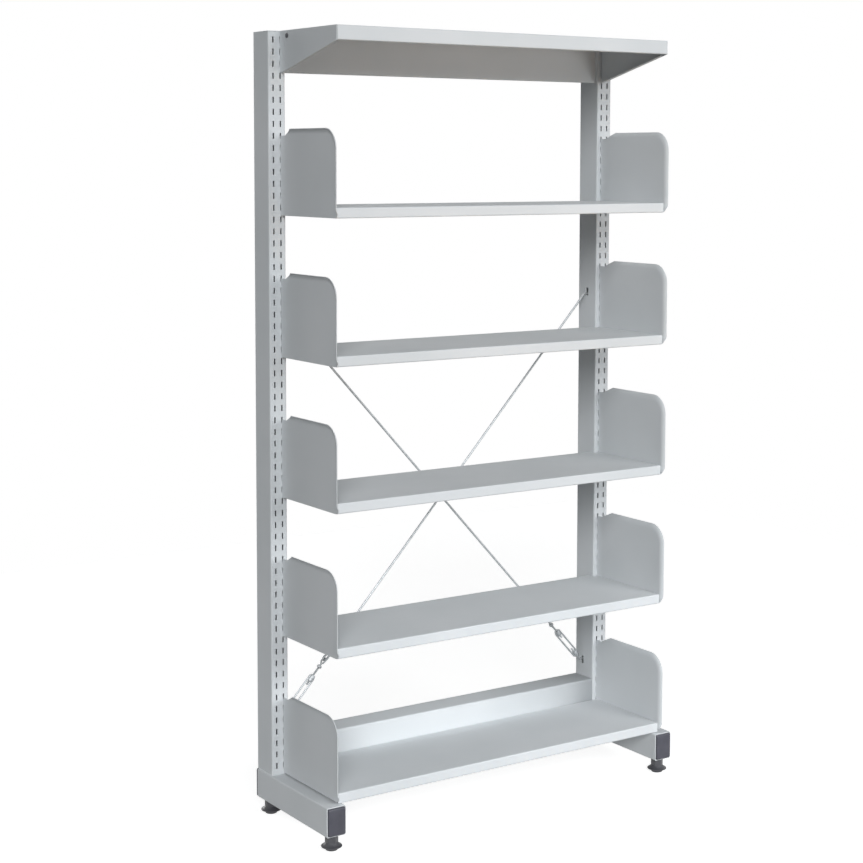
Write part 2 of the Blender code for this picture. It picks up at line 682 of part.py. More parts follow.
def shelves():
    upper = shelf_mesh("shelf", SHELF_BEHIND)
    base = shelf_mesh("base_shelf", -FIT_GAP)
    plates = {}
    for level in range(SHELF_COUNT):
        height = shelf_height(level)
        name = f"shelf_{SHELF_COUNT - level}" if level else "base_shelf"
        add_part(name, upper if level else base, POWDER_COAT, (0, FRONT_Y, height))
        for side_name, side in SIDES.items():
            if level < 2:
                plates[side_name] = plate_mesh(side, plate_drop(level))
            add_part(f"{name}_{side_name}_plate", plates[side_name], POWDER_COAT, (side * COLUMN_X, FRONT_Y, height))


# Rail and canopy

def bottom_rail():
    half = INNER_X - FIT_GAP
    outline = rounded_rectangle(UPRIGHT_DEPTH, RAIL_HEIGHT, RAIL_CORNER)
    place = (0, FRONT_Y + UPRIGHT_DEPTH / 2, RAIL_TOP - RAIL_HEIGHT / 2)
    add_part("bottom_rail", tube("bottom_rail", outline, RAIL_WALL, -half, half, "X"), POWDER_COAT, place)


def canopy_top():
    half = COLUMN_X - BRACKET_SHEET / 2 - FIT_GAP
    front = -CANOPY_FRONT + CANOPY_SHEET / 2
    top = -CANOPY_SHEET / 2
    low = -CANOPY_LIP + CANOPY_SHEET / 2
    path = [(CANOPY_BEHIND, top), (front, top), (front, low), (front + CANOPY_RETURN, low)]
    mesh = prism("canopy_top", [folded_sheet(path, CANOPY_SHEET)], -half, half, "X")
    obj = add_part("canopy_top", mesh, POWDER_COAT, (0, FRONT_Y, RACK_HEIGHT))
    ends = bmesh.new()
    for side in SIDES.values():
        faces = sorted((side * (half - FIT_GAP), side * (half - FIT_GAP - CANOPY_SHEET)))
        add_box(ends, (faces[0], front, -CANOPY_END), (faces[1], -SWEEP_GAP - FIT_GAP, top))
    boolean(obj, "UNION", mesh_from(ends, "canopy_ends"))
    notches = bmesh.new()
    for side in SIDES.values():
        faces = sorted((side * SWEEP_HALF, side * 2 * half))
        add_box(notches, (faces[0], -SWEEP_GAP, -CANOPY_LIP), (faces[1], 2 * CANOPY_BEHIND, CANOPY_LIP))
    boolean(obj, "DIFFERENCE", mesh_from(notches, "canopy_notches"))
    hole = cylinder("bolt_hole", BOLT_RADIUS + FIT_GAP, -2 * half, 2 * half, "X", middle=(-BOLT_BACK, -BOLT_DROP))
    boolean(obj, "DIFFERENCE", hole)


def canopy_back_panel():
    half = INNER_X - FIT_GAP
    face = PANEL_SETBACK + CANOPY_SHEET / 2
    top = -1.5 * CANOPY_SHEET - FIT_GAP
    low = -PANEL_BOTTOM + CANOPY_SHEET / 2
    path = [(face + PANEL_RETURN, low), (face, low), (face, top), (face + PANEL_RETURN, top)]
    mesh = prism("canopy_back_panel", [folded_sheet(path, CANOPY_SHEET)], -half, half, "X")
    add_part("canopy_back_panel", mesh, POWDER_COAT, (0, FRONT_Y, RACK_HEIGHT))


def canopy_bracket(side_name):
    side = SIDES[side_name]
    rear = -FIT_GAP
    front = -CANOPY_FRONT + CANOPY_SHEET
    outline = [(rear, 0), (front, 0), (front, -CANOPY_LIP), (rear - BRACKET_FOOT, -PANEL_BOTTOM),
               (rear, -PANEL_BOTTOM)]
    half = BRACKET_SHEET / 2
    obj = add_part(f"{side_name}_canopy_bracket", prism("canopy_bracket", [outline], -half, half, "X"), POWDER_COAT,
                   (side * COLUMN_X, FRONT_Y, RACK_HEIGHT))
    hooks = []
    reach = half - HOOK_RELIEF
    for below in BRACKET_SLOTS:
        seat = hook_seat(slot_height(SLOT_COUNT - 1 - below)) - RACK_HEIGHT
        hooks.append(prism("bracket_hook", [hook_outline(seat)], -reach, reach, "X"))
    boolean(obj, "UNION", joined(hooks, "bracket_hooks"))
    slope = [(front + CANOPY_RETURN + 4 * CANOPY_SHEET, 0), (rear - BRACKET_FOOT, 0)]
    fall = (PANEL_BOTTOM - CANOPY_LIP) / (rear - BRACKET_FOOT - front)
    lift = BRACKET_SHEET / 2 * math.sqrt(1 + fall * fall)
    edge = [(y, -CANOPY_LIP - fall * (y - front) + lift) for y, _ in slope]
    ends = sorted((side * reach, -side * BRACKET_FLANGE))
    boolean(obj, "UNION", prism("bracket_flange", [folded_sheet(edge, BRACKET_SHEET * 0.9)], *ends, "X"))
    hole = cylinder("bracket_hole", BOLT_RADIUS + FIT_GAP, -BRACKET_FLANGE, BRACKET_FLANGE, "X",
                    middle=(-BOLT_BACK, -BOLT_DROP))
    boolean(obj, "DIFFERENCE", hole)


def canopy_bolt(side_name):
    """Round-headed bolt through the bracket and the canopy's end, with its nut."""
    side = SIDES[side_name]
    outer = side * (BRACKET_SHEET / 2 + FIT_GAP)
    inner = -side * (BRACKET_SHEET / 2 + 3 * FIT_GAP + CANOPY_SHEET)
    place = (side * COLUMN_X, FRONT_Y - BOLT_BACK, RACK_HEIGHT - BOLT_DROP)
    low, high = sorted((outer + side * BOLT_HEAD / 2, inner - side * BOLT_NUT / 2))
    obj = add_part(f"{side_name}_canopy_bolt", cylinder("canopy_bolt", BOLT_RADIUS, low, high, "X"), ZINC_STEEL, place)
    low, high = sorted((outer, outer + side * BOLT_HEAD))
    boolean(obj, "UNION", cylinder("bolt_head", BOLT_HEAD_RADIUS, low, high, "X"))
    low, high = sorted((inner, inner - side * BOLT_NUT))
    boolean(obj, "UNION", cylinder("bolt_nut", BOLT_HEAD_RADIUS, low, high, "X", sides=6))


# Cross brace

def brace_back(side):
    """How far behind the upright's front face a brace lies; side is that of its upper end."""
    return BRACE_BACK - side * BRACE_SPREAD / 2


def brace(name, side):
    """One diagonal: a long rod from the upper hole, an eye bolt, a turnbuckle and a hook bolt below."""
    back = FRONT_Y + brace_back(side)
    rest = BRACE_HOLE_HEIGHT / 2 - BRACE_RADIUS - FIT_GAP
    upper_height = BRACE_UPPER - rest
    lower_height = BRACE_LOWER + rest
    bend = INNER_X - BRACE_STANDOFF
    tip = INNER_X + UPRIGHT_WALL + BRACE_TAIL
    upper = Vector((side * bend, back, upper_height))
    lower = Vector((-side * bend, back, lower_height))
    axis = (upper - lower).normalized()
    across = Vector((0, 1, 0)).cross(axis)
    turn = axis.to_track_quat("Z", "Y")

    lower_head = TURNBUCKLE_START + HEAD_LENGTH
    hook_path = [(-side * tip, back, lower_height - BRACE_TURN), (-side * tip, back, lower_height), lower,
                 lower + axis * (lower_head + THREAD_LENGTH)]
    wire(f"{name}_hook_bolt", filleted(hook_path, BRACE_BEND), BRACE_RADIUS, ZINC_STEEL)

    body = add_part(f"{name}_turnbuckle", cylinder("turnbuckle", HEAD_RADIUS, 0, HEAD_LENGTH), ZINC_STEEL,
                    lower + axis * TURNBUCKLE_START, turn)
    top = TURNBUCKLE_LENGTH - HEAD_LENGTH
    boolean(body, "UNION", cylinder("upper_head", HEAD_RADIUS, top, TURNBUCKLE_LENGTH))
    for sign in (-1, 1):
        boolean(body, "UNION", cylinder("bar", BAR_RADIUS, HEAD_LENGTH / 4, TURNBUCKLE_LENGTH - HEAD_LENGTH / 4,
                                        middle=(0, sign * BAR_OFFSET), sides=10))
    boolean(body, "DIFFERENCE", cylinder("thread", BRACE_RADIUS + FIT_GAP, -HEAD_LENGTH,
                                         TURNBUCKLE_LENGTH + HEAD_LENGTH))

    upper_head = TURNBUCKLE_START + TURNBUCKLE_LENGTH
    eye = EYE_OFFSET
    shank_end = eye - EYE_RADIUS
    bolt = add_part(f"{name}_eye_bolt", cylinder("eye_shank", BRACE_RADIUS, -HEAD_LENGTH - THREAD_LENGTH, shank_end),
                    ZINC_STEEL, lower + axis * upper_head, turn)
    boolean(bolt, "UNION", eye_ring(eye))
    boolean(bolt, "UNION", prism("lock_nut", [polygon(LOCK_NUT_FLATS)], LOCK_NUT_OFFSET,
                                 LOCK_NUT_OFFSET + LOCK_NUT_HEIGHT))

    ring_top = lower + axis * (upper_head + eye + EYE_RADIUS)
    loop = EYE_WIRE + BRACE_RADIUS + FIT_GAP
    rod_path = filleted([(side * tip, back, upper_height - BRACE_TURN), (side * tip, back, upper_height), upper,
                         ring_top + axis * 6 * loop], BRACE_BEND)
    rod_path.append(ring_top + axis * 3.5 * loop)
    for i in range(1, 5):
        sway = (1 - math.cos(math.pi * i / 4)) / 2
        rod_path.append(ring_top + axis * (3.5 - 0.75 * i) * loop + across * sway * loop)
    for i in range(9):
        angle = math.pi * i / 8
        rod_path.append(ring_top + (across * math.cos(angle) - axis * math.sin(angle)) * loop)
    rod_path.append(ring_top - across * loop + axis * HOOK_TAIL)
    wire(f"{name}_rod", rod_path, BRACE_RADIUS, ZINC_STEEL)


def eye_ring(height):
    """Ring whose hole faces across the brace."""
    curve = bpy.data.curves.new("eye_ring", "CURVE")
    curve.dimensions = "3D"
    curve.bevel_depth = EYE_WIRE
    curve.bevel_resolution = 2
    spline = curve.splines.new("POLY")
    points = circle(EYE_RADIUS, BORE_SIDES)
    spline.points.add(len(points) - 1)
    for point, (u, v) in zip(spline.points, points):
        point.co = (u, 0.0, height + v, 1.0)
    spline.use_cyclic_u = True
    holder = bpy.data.objects.new("eye_ring", curve)
    cutters.objects.link(holder)
    mesh = evaluated_mesh(holder)
    bpy.data.objects.remove(holder, do_unlink=True)
    return mesh


def main():
    for side_name in SIDES:
        upright(side_name)
        upright_cap(side_name)
        foot_beam(side_name)
        canopy_bracket(side_name)
        canopy_bolt(side_name)
        for end in ("front", "rear"):
            foot_cap(side_name, end)
            leveller(side_name, end)
    shelves()
    bottom_rail()
    canopy_top()
    canopy_back_panel()
    brace("brace_a", 1)
    brace("brace_b", -1)


main()
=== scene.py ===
import json
import math

import bmesh
import bpy
import numpy as np
from mathutils import Matrix, Vector

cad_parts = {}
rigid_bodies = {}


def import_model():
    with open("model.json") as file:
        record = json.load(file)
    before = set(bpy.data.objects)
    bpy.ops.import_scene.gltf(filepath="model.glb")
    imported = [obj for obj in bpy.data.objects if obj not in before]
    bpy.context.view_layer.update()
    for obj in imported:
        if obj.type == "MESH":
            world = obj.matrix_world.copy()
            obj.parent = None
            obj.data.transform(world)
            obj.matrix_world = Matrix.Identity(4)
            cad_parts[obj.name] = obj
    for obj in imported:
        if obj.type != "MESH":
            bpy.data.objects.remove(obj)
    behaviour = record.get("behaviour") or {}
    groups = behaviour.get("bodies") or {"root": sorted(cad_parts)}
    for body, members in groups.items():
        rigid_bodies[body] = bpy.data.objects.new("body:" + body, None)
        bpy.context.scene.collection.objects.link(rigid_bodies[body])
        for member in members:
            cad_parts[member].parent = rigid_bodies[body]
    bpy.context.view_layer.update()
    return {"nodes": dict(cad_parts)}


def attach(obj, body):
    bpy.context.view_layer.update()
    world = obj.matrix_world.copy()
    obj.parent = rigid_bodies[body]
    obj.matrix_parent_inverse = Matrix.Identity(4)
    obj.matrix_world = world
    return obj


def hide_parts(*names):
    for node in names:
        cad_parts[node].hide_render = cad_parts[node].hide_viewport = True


for old in list(bpy.data.objects):
    bpy.data.objects.remove(old, do_unlink=True)
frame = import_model()

# Measures that several pieces share, in metres

frontY = 0.105      # front faces of the uprights
halfPitch = 0.525   # middle of the rack to the middle of an upright
innerX = 0.501      # inner faces of the uprights
columnX = 0.515     # slot column that carries the plates and brackets
rackTop = 2.022
fitGap = 0.0003     # clearance between pieces that meet
notchY = -0.004     # behind this line, from frontY, a notched sheet is narrower, to pass the uprights
notchHalf = 0.497   # half its width there
notchStep = 1e-5    # depth over which the width changes
nearFace = 1e-4     # a hole is cut in the face that lies this near
tubeEdge = 0.0003   # rounding of cut tube
sheetEdge = 0.0002  # rounding of cut sheet
sides = {"left": -1, "right": 1}
ends = {"front": -1, "rear": 1}
shelfBottoms = {"base_shelf": 0.1165, "shelf_4": 0.480, "shelf_3": 0.840, "shelf_2": 1.200, "shelf_1": 1.560}


# Colour and material nodes

def linear(hexColour):
    # sRGB hex to linear light, channel by channel
    values = np.array([int(hexColour[i:i + 2], 16) for i in (1, 3, 5)]) / 255
    values = np.where(values <= 0.04045, values / 12.92, ((values + 0.055) / 1.055) ** 2.4)
    return (*values.tolist(), 1.0)


def addNode(tree, kind, settings=None, links=None):
    # settings that start with "in:" go to an input socket, the others to the node itself
    made = tree.nodes.new(kind)
    for key, value in (settings or {}).items():
        if key.startswith("in:"):
            made.inputs[key[3:]].default_value = value
        else:
            setattr(made, key, value)
    for key, socket in (links or {}).items():
        tree.links.new(socket, made.inputs[key])
    return made


def emptyTree(owner):
    # the node tree of a new material or world, with nothing in it
    owner.use_nodes = True
    owner.node_tree.nodes.clear()
    return owner.node_tree


def startMaterial(name):
    material = bpy.data.materials.new(name)
    tree = emptyTree(material)
    return material, tree, addNode(tree, "ShaderNodeTexCoord").outputs["Object"]


def noise(tree, place, sizeMm, detail):
    # soft noise with patches about sizeMm across
    settings = {"in:Scale": 1000.0 / sizeMm, "in:Detail": detail}
    return addNode(tree, "ShaderNodeTexNoise", settings, {"Vector": place}).outputs["Fac"]


def tinted(tree, value, look, start=0.3, end=0.7):
    # the deep colour below start, the light colour above end, a blend between
    ramp = addNode(tree, "ShaderNodeValToRGB", links={"Fac": value})
    low, high = ramp.color_ramp.elements
    low.position, low.color = start, linear(look["deep"])
    high.position, high.color = end, linear(look["light"])
    return ramp.outputs["Color"]


def ranged(tree, value, low, high):
    # a value from 0 to 1 brought to the range from low to high
    settings = {"in:To Min": low, "in:To Max": high}
    return addNode(tree, "ShaderNodeMapRange", settings, {"Value": value}).outputs["Result"]


def bumped(tree, height, strength, depth, under=None):
    links = {"Height": height} if under is None else {"Height": height, "Normal": under}
    settings = {"in:Strength": strength, "in:Distance": depth}
    return addNode(tree, "ShaderNodeBump", settings, links).outputs["Normal"]


def finishMaterial(tree, settings, colour, roughness, normal=None):
    links = {"Base Color": colour, "Roughness": roughness}
    if normal is not None:
        links["Normal"] = normal
    shader = addNode(tree, "ShaderNodeBsdfPrincipled", settings, links)
    addNode(tree, "ShaderNodeOutputMaterial", links={"Surface": shader.outputs["BSDF"]})


coatLook = {"light": "#d5d8da", "deep": "#ced2d4", "blend": (0.32, 0.68), "rough": (0.74, 0.86),
            "index": 1.5, "cloudMm": 260, "peelMm": 9, "grainMm": 2.2, "bump": 0.10, "peelDeep": 0.0006,
            "grainDeep": 0.0002}


def powderCoatLightGrey(look=coatLook):
    # Polyester powder coat, sprayed and baked on sheet steel: an even light grey with soft wide highlights
    # and a faint orange peel. Real orange peel is 1 to 3 mm across; the coarser wave is drawn at 9 mm so that
    # it shows.
    material, tree, place = startMaterial("powderCoatLightGrey")
    colour = tinted(tree, noise(tree, place, look["cloudMm"], 2.0), look, *look["blend"])
    peel = noise(tree, place, look["peelMm"], 1.0)
    grain = noise(tree, place, look["grainMm"], 2.0)
    wave = bumped(tree, peel, look["bump"], look["peelDeep"])
    skin = bumped(tree, grain, look["bump"], look["grainDeep"], wave)
    finishMaterial(tree, {"in:IOR": look["index"]}, colour, ranged(tree, peel, *look["rough"]), skin)
    return material


capPlasticLook = {"light": "#474750", "deep": "#3c3c45", "rough": (0.40, 0.52), "index": 1.49, "flowMm": 35,
                  "grainMm": 1.6, "bump": 0.25, "grainDeep": 0.0003}
footPlasticLook = {**capPlasticLook, "light": "#4a4a4e", "deep": "#3e3e42", "rough": (0.36, 0.48),
                   "grainMm": 1.4}


def mouldedPlastic(name, look):
    # Injection-moulded plastic: a dull, slightly uneven colour, an eroded mould texture and wide weak
    # highlights. The mould texture is finer than 1 mm on the real piece and is drawn a little coarser so that
    # it shows.
    material, tree, place = startMaterial(name)
    colour = tinted(tree, noise(tree, place, look["flowMm"], 3.0), look)
    grain = noise(tree, place, look["grainMm"], 2.0)
    skin = bumped(tree, grain, look["bump"], look["grainDeep"])
    finishMaterial(tree, {"in:IOR": look["index"]}, colour, ranged(tree, grain, *look["rough"]), skin)
    return material


zincLook = {"light": "#c6c9cb", "deep": "#a9acae", "rough": (0.46, 0.60), "metal": 0.70, "patchMm": 7,
            "bump": 0.12, "patchDeep": 0.0002}


def zincPlatedSteel(look=zincLook):
    # Bright zinc plate on drawn steel wire: a blue-grey metal with small cloudy patches and a blurred sheen.
    material, tree, place = startMaterial("zincPlatedSteel")
    cloud = noise(tree, place, look["patchMm"], 4.0)
    skin = bumped(tree, cloud, look["bump"], look["patchDeep"])
    finishMaterial(tree, {"in:Metallic": look["metal"]}, tinted(tree, cloud, look),
                   ranged(tree, cloud, *look["rough"]), skin)
    return material


blackLook = {"light": "#55565a", "deep": "#3c3d40", "rough": (0.44, 0.56), "metal": 0.60, "patchMm": 5}


def blackenedSteel(look=blackLook):
    # Phosphated and oiled bolt steel: a dull grey-black with small lighter patches and a faint sheen.
    material, tree, place = startMaterial("blackenedSteel")
    cloud = noise(tree, place, look["patchMm"], 3.0)
    finishMaterial(tree, {"in:Metallic": look["metal"]}, tinted(tree, cloud, look),
                   ranged(tree, cloud, *look["rough"]))
    return material


coat = powderCoatLightGrey()
capPlastic = mouldedPlastic("mouldedPolyethyleneSlate", capPlasticLook)
footPlastic = mouldedPlastic("mouldedPolyamideCharcoal", footPlasticLook)
zinc = zincPlatedSteel()
black = blackenedSteel()


# Meshes from numpy nets

meshLook = {"seam": 2e-6, "deadEdge": 1e-7, "bevelSteps": 2, "bevelAngle": 40}


def net(points, closeRows=False, closeCols=False, keep=None):
    # a rows x columns grid of points; each quad joins four neighbours, and keep drops the quads of holes
    rows, cols = points.shape[:2]
    index = np.arange(rows * cols).reshape(rows, cols)
    if closeCols:
        index = np.concatenate([index, index[:, :1]], axis=1)
    if closeRows:
        index = np.concatenate([index, index[:1]], axis=0)
    quads = np.stack([index[:-1, :-1], index[:-1, 1:], index[1:, 1:], index[1:, :-1]], axis=-1)
    return points.reshape(-1, 3), (quads.reshape(-1, 4) if keep is None else quads[keep])


def cappedNet(rings):
    # rings of points joined in order, with both ends closed on their middles
    middles = np.broadcast_to(rings.mean(axis=1, keepdims=True), rings.shape)
    return net(np.concatenate([middles[:1], rings, middles[-1:]]), closeCols=True)


def easeEdges(piece, width, look=meshLook):
    ease = piece.modifiers.new("edge", "BEVEL")
    ease.width, ease.segments, ease.harden_normals = width, look["bevelSteps"], True
    ease.limit_method, ease.angle_limit = "ANGLE", math.radians(look["bevelAngle"])


def makePiece(name, nets, body, material, nodes=(), shell=True, sheet=None, edge=0.0, sharp=32):
    # shell: closed nets get outward normals; sheet: (thickness, offset) of a Solidify; edge: width of a Bevel
    starts = np.cumsum([0] + [len(p) for p, _ in nets[:-1]])
    points = np.concatenate([p for p, _ in nets])
    quads = np.concatenate([q + s for (_, q), s in zip(nets, starts)])
    mesh = bpy.data.meshes.new(name)
    mesh.vertices.add(len(points))
    mesh.vertices.foreach_set("co", points.astype(np.float32).ravel())
    mesh.loops.add(quads.size)
    mesh.loops.foreach_set("vertex_index", quads.astype(np.int32).ravel())
    mesh.polygons.add(len(quads))
    mesh.polygons.foreach_set("loop_start", np.arange(0, quads.size, 4, dtype=np.int32))
    mesh.update(calc_edges=True)
    work = bmesh.new()
    work.from_mesh(mesh)
    bmesh.ops.remove_doubles(work, verts=work.verts, dist=meshLook["seam"])     # closes seams and poles
    bmesh.ops.dissolve_degenerate(work, edges=work.edges, dist=meshLook["deadEdge"])
    if shell:
        bmesh.ops.recalc_face_normals(work, faces=work.faces)
    work.to_mesh(mesh)
    work.free()
    mesh.polygons.foreach_set("use_smooth", np.ones(len(mesh.polygons), dtype=bool))
    mesh.set_sharp_from_angle(angle=math.radians(sharp))
    mesh.materials.append(material)
    piece = bpy.data.objects.new(name, mesh)
    bpy.context.scene.collection.objects.link(piece)
    if sheet:
        wall = piece.modifiers.new("sheet", "SOLIDIFY")
        wall.thickness, wall.offset = sheet
        wall.use_even_offset = True
    if edge:
        easeEdges(piece, edge)
    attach(piece, body)
    if nodes:
        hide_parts(*nodes)
    return piece


def dressNode(node, material):
    # a CAD node that keeps its own mesh and only takes the finish
    node.data.materials.clear()
    node.data.materials.append(material)


# Outlines and sections

axisOrder = {"Z": (0, 1, 2), "X": (1, 2, 0), "Y": (2, 0, 1)}    # where a section's measures and its run go
straight = -0.9999      # cosine between the two ways along a line that hardly bends


def around(middle, half):
    return middle - half, middle + half


def angles(count):
    return np.linspace(0, 2 * math.pi, count, endpoint=False)


def rectangle(width, height):
    w, h = width / 2, height / 2
    return [(-w, -h), (w, -h), (w, h), (-w, h)]


def bent(corners, radius, steps=6, closed=False, ease=0.0004):
    # a line of corner points whose corners become arcs; points that lie straight stay as they are. A point
    # just beside each arc keeps the flats flat under smooth shading.
    points = np.asarray(corners, float)
    line = []
    for i, here in enumerate(points):
        if not closed and i in (0, len(points) - 1):
            line.append(here[None])
            continue
        into, out = points[i - 1] - here, points[(i + 1) % len(points)] - here
        into, out = into / np.linalg.norm(into), out / np.linalg.norm(out)
        if into @ out < straight:
            line.append(here[None])
            continue
        half = math.acos(into @ out) / 2
        reach = radius / math.tan(half)
        middle = here + (into + out) / np.linalg.norm(into + out) * radius / math.sin(half)
        turn = math.pi - 2 * half
        t = np.linspace(0, 1, steps + 1)[:, None]
        first, last = (here + into * reach - middle), (here + out * reach - middle)
        arc = middle + (np.sin((1 - t) * turn) * first + np.sin(t * turn) * last) / math.sin(turn)
        line += [(here + into * (reach + ease))[None], arc, (here + out * (reach + ease))[None]]
    return np.concatenate(line)


def boxTube(outline, stations, axis, origin, holes=()):
    # a rounded outline (a, b) carried straight along the axis: point = outline + station. A hole is a range
    # of a, b and station, and drops the quads whose middle it holds.
    a, b, t = axisOrder[axis]
    points = np.zeros((len(stations), len(outline), 3))
    points[..., a], points[..., b] = outline[:, 0], outline[:, 1]
    points[..., t] = stations[:, None]
    across = (outline + np.roll(outline, -1, axis=0)) / 2
    along = (stations[1:] + stations[:-1]) / 2
    keep = np.ones((len(along), len(outline)), bool)
    for (a0, a1), (b0, b1), (t0, t1) in holes:
        inside = (across[:, 0] > a0) & (across[:, 0] < a1) & (across[:, 1] > b0) & (across[:, 1] < b1)
        keep &= ~(((along > t0) & (along < t1))[:, None] & inside[None])
    return net(points + np.asarray(origin), closeCols=True, keep=keep)


def stackedOutline(rows, corners, radius, axis, origin):
    # a rounded outline drawn in by each row's inset and set at its height, closed at both ends
    a, b, t = axisOrder[axis]
    insets, heights = np.asarray(rows).T
    outline = bent(corners, radius, closed=True)
    scale = 1 - insets[:, None] / np.abs(outline).max(axis=0)[None]
    points = np.zeros((len(insets), len(outline), 3))
    points[..., a] = outline[:, 0] * scale[:, :1]
    points[..., b] = outline[:, 1] * scale[:, 1:]
    points[..., t] = heights[:, None]
    return cappedNet(points + np.asarray(origin))


def roundedEdge(radius, height, steps=5):
    # (inset, height) rows of a quarter round that ends at the given height
    turn = np.linspace(0, math.pi / 2, steps + 1)
    return np.stack([radius * (1 - np.cos(turn)), height - radius * (1 - np.sin(turn))], axis=1)


# Uprights: a rounded box section with two columns of punched slots in front and two brace holes inside

braceLook = {"back": 0.044, "spread": 0.008, "upper": 1.326, "lower": 0.250}
uprightLook = {"width": 0.048, "depth": 0.080, "corner": 0.004, "wall": 0.002, "bottom": 0.1153,
               "top": 2.0202, "firstSlot": 0.140, "slotPitch": 0.030, "slotCount": 63, "slotWide": 0.004,
               "slotHigh": 0.015, "columns": 0.010, "holeWide": 0.010, "holeHigh": 0.022,
               "capBottom": 2.0205, "capEdge": 0.0008}


def braceY(upperSide):
    return frontY + braceLook["back"] - upperSide * braceLook["spread"] / 2


def makeUpright(sideName, look=uprightLook):
    side = sides[sideName]
    w, d = look["width"] / 2, look["depth"] / 2
    middleY = frontY + d
    slotHalf, slotTall = look["slotWide"] / 2, look["slotHigh"] / 2
    holeHalf, holeTall = look["holeWide"] / 2, look["holeHigh"] / 2
    slotXs = [x for way in (-1, 1) for x in around(way * look["columns"], slotHalf)]
    holeYs = sorted(y for way in (-1, 1) for y in around(braceY(way * side) - middleY, holeHalf))
    rim = [(-w, -d)] + [(x, -d) for x in slotXs] + [(w, -d)]
    rim += [(w, y) for y in holeYs] + [(w, d), (-w, d)] + [(-w, y) for y in holeYs[::-1]]
    slotZs = look["firstSlot"] + look["slotPitch"] * np.arange(look["slotCount"])
    stations = [[look["bottom"], look["top"]], *around(slotZs, slotTall)]
    holes = [(around(way * look["columns"], slotHalf), around(-d, nearFace), around(z, slotTall))
             for way in (-1, 1) for z in slotZs]
    for level, way in (("upper", side), ("lower", -side)):
        across, up = around(braceY(way) - middleY, holeHalf), around(braceLook[level], holeTall)
        holes.append((around(-side * w, nearFace), across, up))
        stations.append(up)
    skin = boxTube(bent(rim, look["corner"], closed=True), np.unique(np.concatenate(stations).round(6)), "Z",
                   (side * halfPitch, middleY, 0), holes)
    makePiece(f"{sideName}UprightSkin", [skin], "frame", coat, [f"{sideName}_upright"], shell=False,
              sheet=(look["wall"], -1), edge=tubeEdge)


def makeUprightCap(sideName, look=uprightLook):
    rows = np.concatenate([[[0.0, look["capBottom"]]], roundedEdge(look["capEdge"], rackTop)])
    cap = stackedOutline(rows, rectangle(look["width"], look["depth"]), look["corner"], "Z",
                         (sides[sideName] * halfPitch, frontY + look["depth"] / 2, 0))
    makePiece(f"{sideName}UprightCapPlate", [cap], "frame", coat, [f"{sideName}_upright_cap"])


# Foot beams, their end caps and the weld beads of the uprights

beamLook = {"width": 0.054, "height": 0.075, "corner": 0.004, "wall": 0.0025, "bottom": 0.040,
            "reach": 0.1797, "stud": 0.0066, "feet": 0.156}


def makeFootBeam(sideName, look=beamLook):
    w, h, stud, feet = look["width"] / 2, look["height"] / 2, look["stud"], look["feet"]
    rim = [(-h, -w), (h, -w), (h, w), (-h, w), (-h, stud), (-h, -stud)]     # (z, x) outline, holes under it
    stations = np.array([-look["reach"], *around(-feet, stud), *around(feet, stud), look["reach"]])
    holes = [(around(-h, nearFace), around(0, stud), around(way * feet, stud)) for way in (-1, 1)]
    skin = boxTube(bent(rim, look["corner"], closed=True), stations, "Y",
                   (sides[sideName] * halfPitch, 0, look["bottom"] + h), holes)
    makePiece(f"{sideName}FootBeamSkin", [skin], "frame", coat, [f"{sideName}_foot_beam"], shell=False,
              sheet=(look["wall"], -1), edge=tubeEdge)


endCapLook = {"reach": 0.186, "thick": 0.006, "corner": 0.005, "back": 0.0006, "swell": 0.0005,
              "crown": 0.010, "plugGap": 0.0004, "plugLong": 0.008, "plugEdge": 0.001,
              "edge": {"front": 0.0040, "rear": 0.0012}, "inset": {"front": 0.0025, "rear": 0.0}}


def makeFootCap(sideName, endName, look=endCapLook):
    # flange rows from the tube's end outwards, with a rounded edge and a face that swells by half a
    # millimetre. At the front the flange is set in, so that the tube's cut end shows round it. A plug sits in
    # the tube.
    height, width = beamLook["height"], beamLook["width"]
    origin = (sides[sideName] * halfPitch, 0, beamLook["bottom"] + height / 2)
    outwards = [1, ends[endName]]
    root = look["reach"] - look["thick"]
    rows = np.concatenate([[[look["back"], root], [0.0, root + look["back"]]],
                           roundedEdge(look["edge"][endName], look["reach"] - look["swell"]),
                           [[look["crown"], look["reach"]]]]) + [look["inset"][endName], 0.0]
    cap = stackedOutline(rows * outwards, rectangle(height, width), look["corner"], "Y", origin)
    tip, ease, walls = root - look["plugLong"], look["plugEdge"], 2 * (beamLook["wall"] + look["plugGap"])
    plugRows = np.array([[0.0, root], [0.0, tip + ease], [ease, tip]])
    plug = stackedOutline(plugRows * outwards, rectangle(height - walls, width - walls), beamLook["corner"],
                          "Y", origin)
    makePiece(f"{sideName}{endName.title()}EndCap", [cap, plug], "frame", capPlastic,
              [f"{sideName}_{endName}_foot_cap"])


weldLook = {"radius": 0.0022, "flat": 0.9, "ripple": 0.0032, "swell": 0.10, "height": 0.1153, "start": 0.110,
            "end": 0.177, "step": 0.0006, "taper": 0.003, "tip": 0.15}


def makeWeldBeads(sideName, look=weldLook):
    # a round bead, half sunk, whose radius swells and shrinks with each ripple and tapers at both ends, laid
    # along both sides of the upright's foot
    run = np.arange(look["start"], look["end"], look["step"])
    taper = np.clip(np.minimum(run - look["start"], look["end"] - run) / look["taper"], look["tip"], 1)
    radius = look["radius"] * taper * (1 + look["swell"] * np.sin(2 * math.pi * run / look["ripple"]))
    t = angles(10)
    nets = []
    for way in (-1, 1):
        middle = sides[sideName] * halfPitch + way * uprightLook["width"] / 2
        x = middle + radius[:, None] * np.cos(t)
        z = look["height"] + radius[:, None] * np.sin(t) * look["flat"]
        nets.append(cappedNet(np.stack([x, run[:, None] * np.ones(len(t)), z], axis=-1)))
    makePiece(f"{sideName}WeldBeads", nets, "frame", coat)


